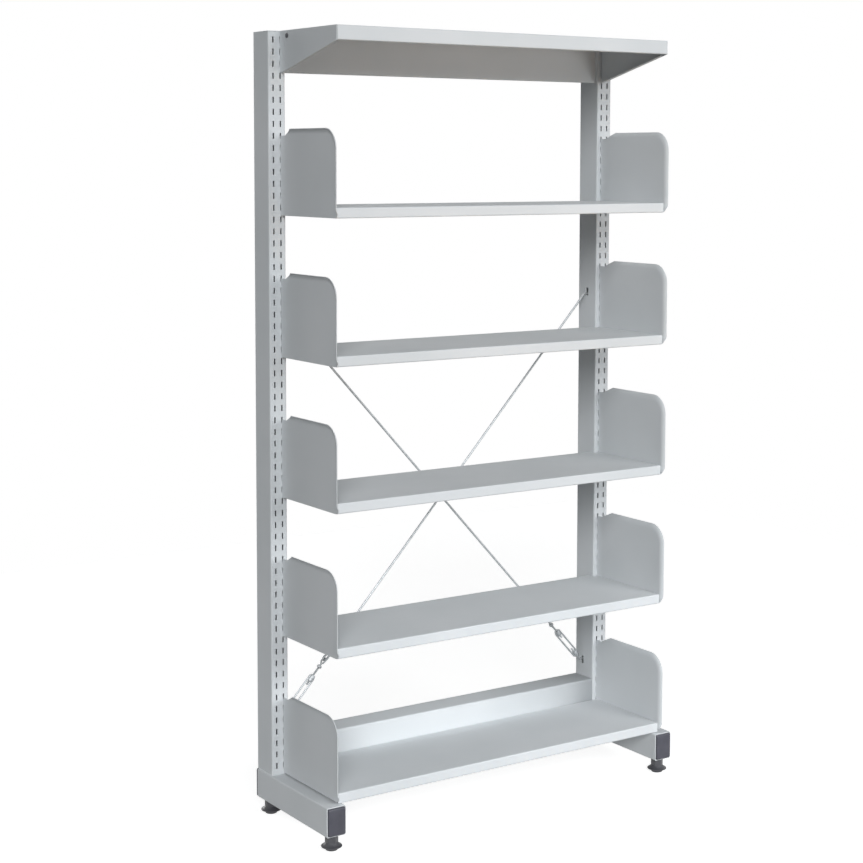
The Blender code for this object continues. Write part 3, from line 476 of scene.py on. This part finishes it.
for sideName in sides:
    makeUpright(sideName)
    makeUprightCap(sideName)
    makeFootBeam(sideName)
    makeWeldBeads(sideName)
    for endName in ends:
        makeFootCap(sideName, endName)
print("uprights, foot beams and caps made")


# Round, hexagonal and threaded forms; place maps (u, v, h), with h along the axis, to the rack

def turnedNet(rows, place, sidesRound, closeRows=False, aside=0.0):
    # (radius, height) rows turned about the axis: u = aside + r cos t, v = r sin t
    radius, height = np.asarray(rows, float).T[:, :, None]
    t = angles(sidesRound)
    points = place(aside + radius * np.cos(t), radius * np.sin(t), height * np.ones(sidesRound))
    return net(points, closeRows=closeRows, closeCols=True)


def lowerRound(radius, low, ease):
    # (radius, height) rows of the quarter round at the lower edge of a turned piece
    turn = np.linspace(0, math.pi / 2, 5)
    return np.stack([radius - ease * (1 - np.sin(turn)), low + ease * (1 - np.cos(turn))], axis=1)


def upperRound(radius, high, ease):
    # the same at its upper edge
    return (lowerRound(radius, 0.0, ease) * [1, -1] + [0, high])[::-1]


def rodRows(heights, radius):
    # (radius, height) rows of a plain rod, closed at both ends
    heights = np.concatenate([heights[:1], heights, heights[-1:]])
    radii = np.full(len(heights), radius)
    radii[[0, -1]] = 0.0
    return np.stack([radii, heights], axis=1)


def hexRadius(flats, t, soft=0.965):
    # distance from the axis to a hexagon's side at angle t, with the corners cut a little
    fold = (t + math.pi / 6) % (math.pi / 3) - math.pi / 6
    return np.minimum(flats / 2 / np.cos(fold), soft * flats / math.sqrt(3))


def hexNet(flats, heights, chamfer, place, sidesRound=72, coneShare=0.47):
    # a hexagon carried from height to height, with its ends turned down to a cone: each row's radius is the
    # hexagon's or the row's limit, whichever is less
    low, high = heights
    cone = flats * coneShare
    rows = np.array([[0.0, low], [cone, low], [math.inf, low + chamfer], [math.inf, high - chamfer],
                     [cone, high], [0.0, high]])
    t = angles(sidesRound)
    radius = np.minimum(rows[:, :1], hexRadius(flats, t)[None])
    points = place(radius * np.cos(t), radius * np.sin(t), rows[:, 1:] * np.ones(sidesRound))
    return net(points, closeCols=True)


def threadedNet(radius, thread, lead, low, high, place, sidesRound=24, runOut=0.8):
    # a rod whose radius falls and rises once per lead while the groove winds round it:
    # r = R - d (1 - cos(2 pi h / lead - t)) / 2. At the ends it runs out at a plain share of the depth.
    h = np.arange(low, high + lead / 16, lead / 8)
    t = angles(sidesRound)
    groove = (1 - np.cos(2 * math.pi * h[:, None] / lead - t)) / 2
    fade = np.clip(np.minimum(h - low, high - h) / lead, 0, 1)[:, None]
    r = radius - thread * (groove * fade + runOut * (1 - fade))
    r = np.concatenate([0 * r[:1], r, 0 * r[:1]])
    h = np.concatenate([h[:1], h, h[-1:]])
    return net(place(r * np.cos(t), r * np.sin(t), h[:, None] * np.ones(sidesRound)), closeCols=True)


# Levelling feet: turned base and flange, hexagonal neck, threaded stud

footLook = {"baseRadius": 0.0155, "baseHeight": 0.008, "baseRound": 0.0016, "hollow": 0.0006,
            "hollowSpan": (0.60, 0.66), "socket": 0.009, "socketFloor": 0.0041, "socketEdge": 0.0004,
            "flange": 0.0265, "flangeTop": 0.0163, "lipRound": 0.0014, "lipDrop": 0.0058, "groove": 0.0007,
            "grooveSpan": (0.62, 0.66, 0.86, 0.90), "bellInset": 0.0012, "bellDrop": 0.0046,
            "bellRise": 0.0086, "bellBow": 1.6, "bellNeck": 1.02, "core": 0.0042, "neckFlats": 0.030,
            "neckTop": 0.0397, "neckSink": 0.001, "neckEdge": 0.0012, "stud": 0.006, "studLow": 0.0243,
            "studHigh": 0.078, "lead": 0.00175, "thread": 0.0007}


def makeLeveller(sideName, endName, look=footLook):
    x, y = sides[sideName] * halfPitch, ends[endName] * beamLook["feet"]
    name, body = f"{sideName}{endName.title()}", f"{sideName}_{endName}_leveller"

    def place(u, v, h):
        return np.stack([x + u, y + v, h], axis=-1)

    r, high, ease, hollow = look["baseRadius"], look["baseHeight"], look["baseRound"], look["hollow"]
    socket, floor, chamfer = look["socket"], look["socketFloor"], look["socketEdge"]
    flat, rim = np.multiply(look["hollowSpan"], r)
    base = np.concatenate([[[0, hollow], [flat, hollow], [rim, 0]], lowerRound(r, 0.0, ease),
                           upperRound(r, high, ease),
                           [[socket + fitGap, high], [socket, high - chamfer], [socket, floor], [0, floor]]])
    makePiece(f"{name}FootBase", [turnedNet(base, place, 40)], f"{body}_base", footPlastic, [f"{body}_base"])

    # the flange rises to the neck in a bell; a groove runs round its lower face
    low, top, wide, neck = high + fitGap, look["flangeTop"], look["flange"], look["neckFlats"] / 2
    seat, pin, core, groove = floor + fitGap, socket - chamfer, top + look["core"], low + look["groove"]
    a, b, c, d = np.multiply(look["grooveSpan"], wide)
    rise = np.linspace(0, 1, 9)
    bellStart, bellEnd = wide - look["bellInset"], neck * look["bellNeck"]
    bell = np.stack([bellStart - (bellStart - bellEnd) * rise,
                     top - look["bellDrop"] + look["bellRise"] * rise ** look["bellBow"]], axis=1)
    foot = np.concatenate([[[0, seat], [pin, seat], [pin, low], [a, low], [b, groove], [c, groove], [d, low]],
                           lowerRound(wide, low, look["lipRound"]), [[wide, top - look["lipDrop"]]], bell,
                           [[neck / 2, core], [0, core]]])
    neckNet = hexNet(look["neckFlats"], (top - look["neckSink"], look["neckTop"]), look["neckEdge"], place)
    makePiece(f"{name}FootFlange", [turnedNet(foot, place, 40), neckNet], f"{body}_foot", footPlastic,
              [f"{body}_foot"])
    stud = threadedNet(look["stud"], look["thread"], look["lead"], look["studLow"], look["studHigh"], place)
    makePiece(f"{name}FootStud", [stud], f"{body}_foot", zinc, [f"{body}_stud"], sharp=60)


for sideName in sides:
    for endName in ends:
        makeLeveller(sideName, endName)
print("levelling feet made")


# Folded sheet pieces: a profile in (y, z) with rounded bends, carried across the rack

def foldedNet(profile, half, z0, notched=False):
    # point = (s half, y, z) with s from -1 to 1
    width = np.full(len(profile), half)
    if notched:
        width[profile[:, 0] > notchY] = notchHalf
    s = np.array([-1, -0.998, -0.5, 0, 0.5, 0.998, 1.0])
    points = np.zeros((len(profile), len(s), 3))
    points[..., 0] = width[:, None] * s
    points[..., 1] = frontY + profile[:, :1]
    points[..., 2] = z0 + profile[:, 1:]
    return net(points)


def flatNet(x, ys, zs):
    # a plain upright sheet at x
    y, z = np.meshgrid(ys, zs)
    return net(np.stack([np.full_like(y, x), y, z], axis=-1))


shelfLook = {"half": 0.5137, "sheet": 0.0015, "front": 0.275, "behind": 0.020, "height": 0.026,
             "return": 0.014, "hem": 0.008, "flange": 0.018, "seat": 0.0119, "bend": 0.0024,
             "endFront": 0.001, "endRear": -0.0045, "endGap": 0.0002}


def makeShelf(name, look=shelfLook):
    base, z0 = name == "base_shelf", shelfBottoms[name]
    half, mid = look["half"], look["sheet"] / 2
    rear = (-fitGap if base else look["behind"]) - mid
    front, top, low = mid - look["front"], look["height"] - mid, mid
    inner = front + look["return"]
    corners = [(rear, top - look["flange"]), (rear, top)]
    corners += [] if base else [(notchY + notchStep, top), (notchY, top)]
    corners += [(front, top), (front, low), (inner, low), (inner, low + look["hem"])]
    nets = [foldedNet(bent(corners, look["bend"]), half, z0, notched=not base)]
    endYs = [frontY + front + look["endFront"], frontY + (rear if base else look["endRear"])]
    endZs = [z0 + look["seat"], z0 + top - mid - look["endGap"]]
    nets += [flatNet(side * (half - fitGap - mid), endYs, endZs) for side in sides.values()]
    makePiece(f"{name}Tray", nets, name, coat, [name], shell=False, sheet=(look["sheet"], 0), edge=sheetEdge)


plateLook = {"plane": columnX, "sheet": 0.0016, "rim": 0.020, "rimTurn": 47, "depth": 0.285, "height": 0.217,
             "corner": 0.050, "toe": 0.018, "fade": 0.022, "strip": 0.026, "stripTop": 0.2005,
             "slopeRun": 0.032, "slopeFall": 0.015, "ease": 0.0005, "sliver": 0.0008, "drop": 0.020,
             "baseDrop": 0.0235, "baseRaise": 0.0035, "hookSlots": (1, 3, 5), "hookNeck": 0.0023,
             "hookReach": 0.0053, "hookDrop": 0.006, "hookHigh": 0.0081, "tabReach": 0.012, "tabLong": 0.030,
             "tabHigh": 0.0108, "tabInset": 0.052}


def plateNets(side, bottom, drop, low, look=plateLook):
    # The pressed plate: a flat field and a rim that flares outwards along the top and the front, up to the
    # turn m. Along the outer edge, with outward direction n: field edge = edge - n R sin(m), rim = field edge
    # + n R sin(p) and x = plane + R (1 - cos p). m fades to nothing towards the toe. Where the edge is cut
    # back by c, at the toe and the rear slope, the rim stops at sin p = sin m - c / R.
    radius, depth, top, corner = look["rim"], look["depth"], look["height"], look["corner"]
    toe, strip, ease = look["toe"], look["strip"], look["ease"]
    slopeEnd = strip + look["slopeRun"]
    yTop = -np.concatenate([np.linspace(strip, slopeEnd, 12), [slopeEnd + 2 * ease, depth - corner - ease]])
    turn = np.linspace(0, math.pi / 2, 15)
    zFront = np.concatenate([[top - corner - ease], np.linspace(look["fade"] + low, toe + low + ease, 5),
                             low + toe * (1 - np.sin(np.linspace(0, math.pi / 2, 14)))])
    y = np.concatenate([yTop, -depth + corner - corner * np.sin(turn), np.full(len(zFront), -depth)])
    z = np.concatenate([np.full(len(yTop), top), top - corner + corner * np.cos(turn), zFront])
    n = np.concatenate([np.tile([0.0, 1.0], (len(yTop), 1)), np.stack([-np.sin(turn), np.cos(turn)], axis=1),
                        np.tile([-1.0, 0.0], (len(zFront), 1))])
    cut = np.zeros(len(y))
    cut[:len(yTop)] = np.clip((yTop + slopeEnd) / look["slopeRun"], 0, 1) * look["slopeFall"]
    cut[-len(zFront):] = toe - np.sqrt(np.maximum(toe ** 2 - np.clip(toe + low - zFront, 0, toe) ** 2, 0))
    fade = np.clip((z - low) / look["fade"], 0, 1)
    m = math.radians(look["rimTurn"]) * fade * fade * (3 - 2 * fade)
    wide = radius * np.sin(m) - cut
    wide[wide < look["sliver"]] = 0.0       # where the rim runs out
    field = np.stack([y, z], axis=1) - n * (cut + wide)[:, None]
    p = np.arcsin(wide / radius)[:, None] * np.linspace(1, 0, 9)[None]
    rim = field[:, None] + n[:, None] * (radius * np.sin(p))[..., None]
    heel = np.array([-strip, low])
    inwards = np.array([0.004, 0.3, 0.65, 1.0])[None, :, None]
    flat = field[:, None] + (heel - field[:, None]) * inwards
    yz = np.concatenate([rim, flat], axis=1)
    x = np.concatenate([radius * (1 - np.cos(p)), np.zeros(flat.shape[:2])], axis=1)

    def place(x, yz):
        return np.stack([side * (look["plane"] + x), frontY + yz[..., 0], bottom + yz[..., 1]], axis=-1)

    nets = [net(place(x, yz))]
    rearEdge = np.concatenate([field[:1], flat[0]])[:, 1]
    lowered = low + (rearEdge - low) * (look["stripTop"] - low) / (rearEdge[0] - low)
    stripZ = np.stack([lowered, lowered, rearEdge])
    stripY = np.array([-fitGap, 2 * ease - strip, -strip])[:, None] * np.ones_like(stripZ)
    nets.append(net(place(np.zeros_like(stripZ), np.stack([stripY, stripZ], axis=-1))))
    for slot in look["hookSlots"]:
        seat = drop + uprightLook["slotPitch"] * slot - uprightLook["slotHigh"] / 2 + fitGap
        hookY, hookZ = np.meshgrid([-fitGap, look["hookNeck"], look["hookReach"]],
                                   [seat - look["hookDrop"], seat, seat + look["hookHigh"]])
        hook = np.stack([hookY, hookZ], axis=-1)
        nets.append(net(place(np.zeros_like(hookY), hook), keep=np.array([[False, True], [True, True]])))
    for inset in (look["tabInset"], depth - look["tabInset"]):
        tabX, tabY = np.meshgrid([-look["sheet"] / 2, -look["tabReach"]], around(-inset, look["tabLong"] / 2))
        nets.append(net(place(tabX, np.stack([tabY, np.full_like(tabY, look["tabHigh"])], axis=-1))))
    return nets


for name, bottom in shelfBottoms.items():
    makeShelf(name)
    base = name == "base_shelf"
    drop, low = (plateLook["baseDrop"], plateLook["baseRaise"]) if base else (plateLook["drop"], 0.0)
    for sideName, side in sides.items():
        node = f"{name}_{sideName}_plate"
        makePiece(f"{name}{sideName.title()}Plate", plateNets(side, bottom, drop, low), node, coat, [node],
                  shell=False, sheet=(plateLook["sheet"], 0), edge=sheetEdge)
print("shelves and side plates made")


# Rail, canopy and its bolts

railLook = {"top": 0.204, "height": 0.080, "depth": 0.080, "corner": 0.005, "wall": 0.002}


def makeRail(look=railLook):
    reach = innerX - fitGap
    outline = bent(rectangle(look["depth"], look["height"]), look["corner"], steps=8, closed=True)
    skin = boxTube(outline, np.array([-reach, 0.0, reach]), "X",
                   (0, frontY + look["depth"] / 2, look["top"] - look["height"] / 2))
    makePiece("bottomRailSkin", [skin], "frame", coat, ["bottom_rail"], shell=False, sheet=(look["wall"], -1))


canopyLook = {"half": 0.5137, "sheet": 0.0015, "front": 0.283, "behind": 0.040, "lip": 0.036,
              "return": 0.012, "bend": 0.0026, "end": 0.024, "endFront": 0.001, "endRear": -0.0043,
              "endGap": 0.0002, "panelBottom": 0.103, "panelSetback": 0.012, "panelReturn": 0.020}


def makeCanopy(look=canopyLook):
    sheet, mid = look["sheet"], look["sheet"] / 2
    front, low = mid - look["front"], mid - look["lip"]
    tray = bent([(look["behind"], -mid), (notchY + notchStep, -mid), (notchY, -mid), (front, -mid),
                 (front, low), (front + look["return"], low)], look["bend"])
    endYs = [frontY + front + look["endFront"], frontY + look["endRear"]]
    endZs = [rackTop - look["end"], rackTop - sheet - look["endGap"]]
    nets = [foldedNet(tray, look["half"], rackTop, notched=True)]
    nets += [flatNet(side * (look["half"] - fitGap - mid), endYs, endZs) for side in sides.values()]
    makePiece("canopyTopTray", nets, "frame", coat, ["canopy_top"], shell=False, sheet=(sheet, 0),
              edge=sheetEdge)
    face = look["panelSetback"] + mid
    back = face + look["panelReturn"]
    top, bottom = -1.5 * sheet - fitGap, mid - look["panelBottom"]
    panel = bent([(back, bottom), (face, bottom), (face, top), (back, top)], look["bend"])
    makePiece("canopyBackPanelSheet", [foldedNet(panel, innerX - fitGap, rackTop)], "frame", coat,
              ["canopy_back_panel"], shell=False, sheet=(sheet, 0), edge=sheetEdge)


boltLook = {"back": 0.038, "drop": 0.013, "head": 0.0065, "headSeat": 0.0013, "domeSeat": 0.0019,
            "domeHigh": 0.0024, "shank": 0.004, "shankTop": 0.0025, "thread": 0.0004, "lead": 0.00125,
            "nut": 0.005, "nutFlats": 0.011258, "nutEdge": 0.0006, "nutSeat": -0.0034}


def makeCanopyBolt(sideName, look=boltLook):
    # a low dome turned about the bolt's axis, a threaded shank and a hexagonal nut inside
    side, y, z = sides[sideName], frontY - look["back"], rackTop - look["drop"]

    def place(u, v, h):
        return np.stack([side * (columnX + h), y + u, z + v], axis=-1)

    turn = np.linspace(0, math.pi / 2, 8)
    dome = np.stack([look["head"] * np.cos(turn), look["domeSeat"] + look["domeHigh"] * np.sin(turn)], axis=1)
    head = np.concatenate([[[0, look["headSeat"]], [look["head"], look["headSeat"]]], dome])
    seat = look["nutSeat"]
    nut = hexNet(look["nutFlats"], (seat - look["nut"], seat), look["nutEdge"], place)
    shank = threadedNet(look["shank"], look["thread"], look["lead"], seat - look["nut"] / 2, look["shankTop"],
                        place, 16)
    makePiece(f"{sideName}CanopyBoltHead", [turnedNet(head, place, 28), nut, shank], "frame", black,
              [f"{sideName}_canopy_bolt"], sharp=40)


bracketLook = {"weld": 1e-5, "edge": 0.0003}


def dressBracket(sideName, look=bracketLook):
    # the CAD bracket keeps its shape; its triangles are welded so that a small bevel can round the cut edges
    node = frame["nodes"][f"{sideName}_canopy_bracket"]
    dressNode(node, coat)
    node.modifiers.new("weld", "WELD").merge_threshold = look["weld"]
    easeEdges(node, look["edge"])


makeRail()
makeCanopy()
for sideName in sides:
    makeCanopyBolt(sideName)
    dressBracket(sideName)
print("rail and canopy made")


# Cross brace: long rods, eye bolts, open turnbuckles and hook bolts

rodLook = {"radius": 0.003, "holeHigh": 0.016, "standoff": 0.010, "bend": 0.007, "tail": 0.010, "turn": 0.011,
           "start": 0.016, "length": 0.112, "head": 0.018, "headRadius": 0.0075, "headEdge": 0.0012,
           "bar": 0.0026, "barOffset": 0.0080, "thread": 0.012, "lead": 0.001, "groove": 0.00045,
           "wireEnd": 0.006, "screwStart": 0.0065, "screwPast": 0.003, "eye": 0.046, "eyeRadius": 0.0080,
           "eyeWire": 0.0025, "nutFlats": 0.012, "nutHigh": 0.007, "nutOffset": 0.024, "nutEdge": 0.0008,
           "hookTail": 0.016, "hookStep": 0.0012, "rodStep": 0.0016, "straightTo": (6.0, 3.6), "swayRun": 3.5}


def evenPath(points, step):
    # the same line with points at even distances
    length = np.concatenate([[0], np.cumsum(np.linalg.norm(np.diff(points, axis=0), axis=1))])
    at = np.linspace(0, length[-1], max(2, int(length[-1] / step)))
    return np.stack([np.interp(at, length, points[:, k]) for k in (0, 1)], axis=1)


def wireNet(path, radius, depthY, sidesRound):
    # a circle carried along a path in the (x, z) plane at depthY:
    # point = path + r cos(t) normal + r sin(t) depth
    along = np.gradient(path, axis=0)
    along /= np.linalg.norm(along, axis=1, keepdims=True)
    t = angles(sidesRound)
    points = np.zeros((len(path), sidesRound, 3))
    points[..., 0] = path[:, :1] - along[:, 1:] * radius * np.cos(t)
    points[..., 2] = path[:, 1:] + along[:, :1] * radius * np.cos(t)
    points[..., 1] = depthY + radius * np.sin(t)
    return cappedNet(points)


def makeBrace(name, side, look=rodLook):
    depth, radius = braceY(side), look["radius"]
    rest = look["holeHigh"] / 2 - radius - fitGap
    bendX, tipX = innerX - look["standoff"], innerX + uprightLook["wall"] + look["tail"]
    upper = np.array([side * bendX, braceLook["upper"] - rest])
    lower = np.array([-side * bendX, braceLook["lower"] + rest])
    axis = (upper - lower) / np.linalg.norm(upper - lower)
    across = np.array([axis[1], -axis[0]])

    def place(u, v, h):
        # u across the brace in its own plane, v to the rear, h along it from the lower bend
        xz = lower + axis * h[..., None] + across * u[..., None]
        return np.stack([xz[..., 0], depth + v, xz[..., 1]], axis=-1)

    def screw(low, high):
        return threadedNet(radius, look["groove"], look["lead"], low, high, place, 18)

    def endBend(way, corner, inner):
        # the wire's end inside the upright, its way out through the hole and the bend towards the inner point
        tip = [(way * tipX, corner[1] - look["turn"]), (way * tipX, corner[1])]
        return bent([*tip, tuple(corner), tuple(inner)], look["bend"], steps=10)

    head = look["head"]
    lowHead, upHead = look["start"], look["start"] + look["length"]

    # hook bolt: bent wire, threaded from just below the turnbuckle to its end
    hook = evenPath(endBend(-side, lower, lower + axis * (lowHead - look["wireEnd"])), look["hookStep"])
    hookScrew = screw(lowHead - look["screwStart"], lowHead + head + look["thread"])
    makePiece(f"{name}HookBoltWire", [wireNet(hook, radius, depth, 18), hookScrew], "frame", zinc,
              [f"{name}_hook_bolt"], sharp=50)

    # turnbuckle: two bored heads joined by two round bars
    bore, wide, ease = radius + fitGap, look["headRadius"], look["headEdge"]
    ring = np.concatenate([[[bore, 0]], lowerRound(wide, 0.0, ease), upperRound(wide, head, ease),
                           [[bore, head]]])
    nets = [turnedNet(ring + [0, start], place, 28, closeRows=True) for start in (lowHead, upHead - head)]
    bar = rodRows(np.linspace(lowHead + head / 4, upHead - head / 4, 24), look["bar"])
    nets += [turnedNet(bar, place, 16, aside=way * look["barOffset"]) for way in (-1, 1)]
    makePiece(f"{name}TurnbuckleBody", nets, f"{name}_turnbuckle", zinc, [f"{name}_turnbuckle"])

    # eye bolt: threaded shank, lock nut and an eye whose ring stands across the brace
    eyeH, eyeRadius, eyeWire = upHead + look["eye"], look["eyeRadius"], look["eyeWire"]
    nutLow, nutHigh = upHead + look["nutOffset"], upHead + look["nutOffset"] + look["nutHigh"]
    shank = screw(upHead - head - look["thread"], nutHigh + look["screwPast"])
    neck = turnedNet(rodRows(np.linspace(nutLow, eyeH - eyeRadius, 6), radius), place, 16)
    ringTurn, wireTurn = angles(40)[:, None], angles(16)
    reach = eyeRadius + eyeWire * np.cos(wireTurn)
    eye = net(place(eyeWire * np.sin(wireTurn) * np.ones_like(ringTurn), reach * np.cos(ringTurn),
                    eyeH + reach * np.sin(ringTurn)), closeRows=True, closeCols=True)
    nut = hexNet(look["nutFlats"], (nutLow, nutHigh), look["nutEdge"], place)
    makePiece(f"{name}EyeBoltWire", [shank, neck, eye, nut], "frame", zinc, [f"{name}_eye_bolt"], sharp=50)

    # rod: from the tip inside the upright, through the hole, down to a loop round the eye and a short tail.
    # Before the loop it sways aside by the loop's radius; straightTo and swayRun are in loop radii.
    top = lower + axis * (eyeH + eyeRadius)
    loop = eyeWire + radius + fitGap
    k = np.linspace(0, 1, 12)[:, None]
    sway = top + axis * look["swayRun"] * (1 - k) * loop - across * (1 - np.cos(math.pi * k)) / 2 * loop
    a = np.linspace(0, math.pi, 24)[1:, None]
    curl = top - (across * np.cos(a) + axis * np.sin(a)) * loop
    tail = top + across * loop + axis * look["hookTail"]
    first, last = (top + axis * run * loop for run in look["straightTo"])
    rod = np.concatenate([endBend(side, upper, first), last[None], sway, curl, tail[None]])
    makePiece(f"{name}RodWire", [wireNet(evenPath(rod, look["rodStep"]), radius, depth, 16)], "frame", zinc,
              [f"{name}_rod"], sharp=60)


makeBrace("brace_a", 1)
makeBrace("brace_b", -1)
for name, node in frame["nodes"].items():
    if name.endswith("_leveller_nut"):
        dressNode(node, zinc)
print("cross brace made")


# Floor, light and camera

stageLook = {"floor": "#b4b4b3", "reach": 3.2, "lift": 0.84, "world": "#ffffff", "ambient": 0.005}


def seenRays(tree):
    # 1 for camera, glossy and transmission rays, 0 for the light that falls on the rack
    rays = addNode(tree, "ShaderNodeLightPath").outputs
    seen = rays["Is Camera Ray"]
    for kind in ("Is Glossy Ray", "Is Transmission Ray"):
        seen = addNode(tree, "ShaderNodeMath", {"operation": "MAXIMUM"}, {0: seen, 1: rays[kind]}).outputs[0]
    return seen


def makeFloor(look=stageLook):
    # pale matt floor that keeps the shadow; white added for the rays that see it lifts it to the backdrop
    mesh = bpy.data.meshes.new("floor")
    corners = [(*corner, 0) for corner in rectangle(2 * look["reach"], 2 * look["reach"])]
    mesh.from_pydata(corners, [], [(0, 1, 2, 3)])
    floor = bpy.data.objects.new("floor", mesh)
    bpy.context.scene.collection.objects.link(floor)
    material = bpy.data.materials.new("studioFloorMattWhite")
    tree = emptyTree(material)
    matt = addNode(tree, "ShaderNodeBsdfDiffuse", {"in:Color": linear(look["floor"])})
    level = addNode(tree, "ShaderNodeMath", {"operation": "MULTIPLY"}, {0: seenRays(tree)})
    level.inputs[1].default_value = look["lift"]
    white = {"in:Color": linear(look["world"])}
    glow = addNode(tree, "ShaderNodeEmission", white, {"Strength": level.outputs[0]})
    both = addNode(tree, "ShaderNodeAddShader", links={0: matt.outputs[0], 1: glow.outputs[0]})
    addNode(tree, "ShaderNodeOutputMaterial", links={"Surface": both.outputs[0]})
    mesh.materials.append(material)


def makeWorld(look=stageLook):
    # white for the rays that see it, an even ambient level for everything else
    world = bpy.data.worlds.new("studioWorld")
    tree = emptyTree(world)
    level = ranged(tree, seenRays(tree), look["ambient"], 1.0)
    sky = addNode(tree, "ShaderNodeBackground", {"in:Color": linear(look["world"])}, {"Strength": level})
    addNode(tree, "ShaderNodeOutputWorld", links={"Surface": sky.outputs[0]})
    bpy.context.scene.world = world


lampLook = {"leftSoftbox": {"energy": 2.15, "colour": "#fbfdff", "angle": 30, "from": (-0.50, -0.78, 0.40)},
            "rightSoftbox": {"energy": 0.84, "colour": "#fbfdff", "angle": 30, "from": (0.35, -0.85, 0.35)},
            "rearSoftbox": {"energy": 0.90, "colour": "#ffffff", "angle": 30, "from": (-0.08, 0.97, 0.15)}}


def makeLamp(name, look):
    # a wide soft source, far off: two stand before the rack, to its left and right, and a weak one behind it
    lamp = bpy.data.lights.new(name, "SUN")
    lamp.energy, lamp.color = look["energy"], linear(look["colour"])[:3]
    lamp.angle = math.radians(look["angle"])
    holder = bpy.data.objects.new(name, lamp)
    holder.matrix_world = (-Vector(look["from"])).to_track_quat("-Z", "Y").to_matrix().to_4x4()
    bpy.context.scene.collection.objects.link(holder)


panelLook = {"nearPanel": {"energy": 18.0, "colour": "#fbfdff", "size": (0.9, 0.9), "spread": 180,
                           "at": (1.2, -2.8, 1.60), "towards": (0.0, 0.0, 1.00)},
             "lowPanel": {"energy": 1.01, "colour": "#fbfdff", "size": (1.4, 0.4), "spread": 60,
                          "at": (0.2, -1.5, 1.00), "towards": (0.0, 0.0, 0.15)},
             "warmBounce": {"energy": 0.81, "colour": "#ffd8b0", "size": (1.2, 0.4), "spread": 50,
                            "at": (0.3, -1.6, 0.10), "towards": (0.0, 0.1, 2.00)}}


def makePanel(name, look):
    # a lamp near the rack, which reaches each shelf at its own slope; a narrow spread makes it a beam
    lamp = bpy.data.lights.new(name, "AREA")
    lamp.shape, lamp.energy, lamp.color = "RECTANGLE", look["energy"], linear(look["colour"])[:3]
    lamp.size, lamp.size_y = look["size"]
    lamp.spread = math.radians(look["spread"])
    holder = bpy.data.objects.new(name, lamp)
    spot = Vector(look["at"])
    way = Vector(look["towards"]) - spot
    holder.matrix_world = Matrix.Translation(spot) @ way.to_track_quat("-Z", "Y").to_matrix().to_4x4()
    bpy.context.scene.collection.objects.link(holder)


photoCamera = {"turn": 34.2105, "distance": 4.92129, "height": 1.7027, "tilt": -4.6937, "roll": 0.1474,
               "focal": 1832.47, "aside": 0.02119, "middle": (457.70, 309.72), "image": 863, "sensor": 36,
               "farthest": 100}


def makeCamera(look=photoCamera):
    # the photograph's view, fitted to the uprights, slots and shelves; focal and middle, the pixel that the
    # lens looks at, are in pixels of the square image
    turn, tilt, image = math.radians(look["turn"]), math.radians(look["tilt"]), look["image"]
    distance, aside = look["distance"], look["aside"]
    lens = bpy.data.cameras.new("photoCamera")
    lens.sensor_width = look["sensor"]
    lens.lens = look["focal"] / image * look["sensor"]
    lens.shift_x = (image / 2 - look["middle"][0]) / image
    lens.shift_y = -(image / 2 - look["middle"][1]) / image
    lens.clip_end = look["farthest"]
    camera = bpy.data.objects.new("photoCamera", lens)
    bpy.context.scene.collection.objects.link(camera)
    spot = Vector((-math.sin(turn) * distance + aside * math.cos(turn),
                   -math.cos(turn) * distance - aside * math.sin(turn) + frontY, look["height"]))
    way = Vector((math.sin(turn) * math.cos(tilt), math.cos(turn) * math.cos(tilt), math.sin(tilt)))
    roll = Matrix.Rotation(math.radians(look["roll"]), 4, "Z")
    camera.matrix_world = Matrix.Translation(spot) @ way.to_track_quat("-Z", "Y").to_matrix().to_4x4() @ roll
    bpy.context.scene.camera = camera


makeFloor()
makeWorld()
for name, look in lampLook.items():
    makeLamp(name, look)
for name, look in panelLook.items():
    makePanel(name, look)
makeCamera()
bpy.context.scene.view_settings.view_transform = "Standard"
print("stage, light and camera set")
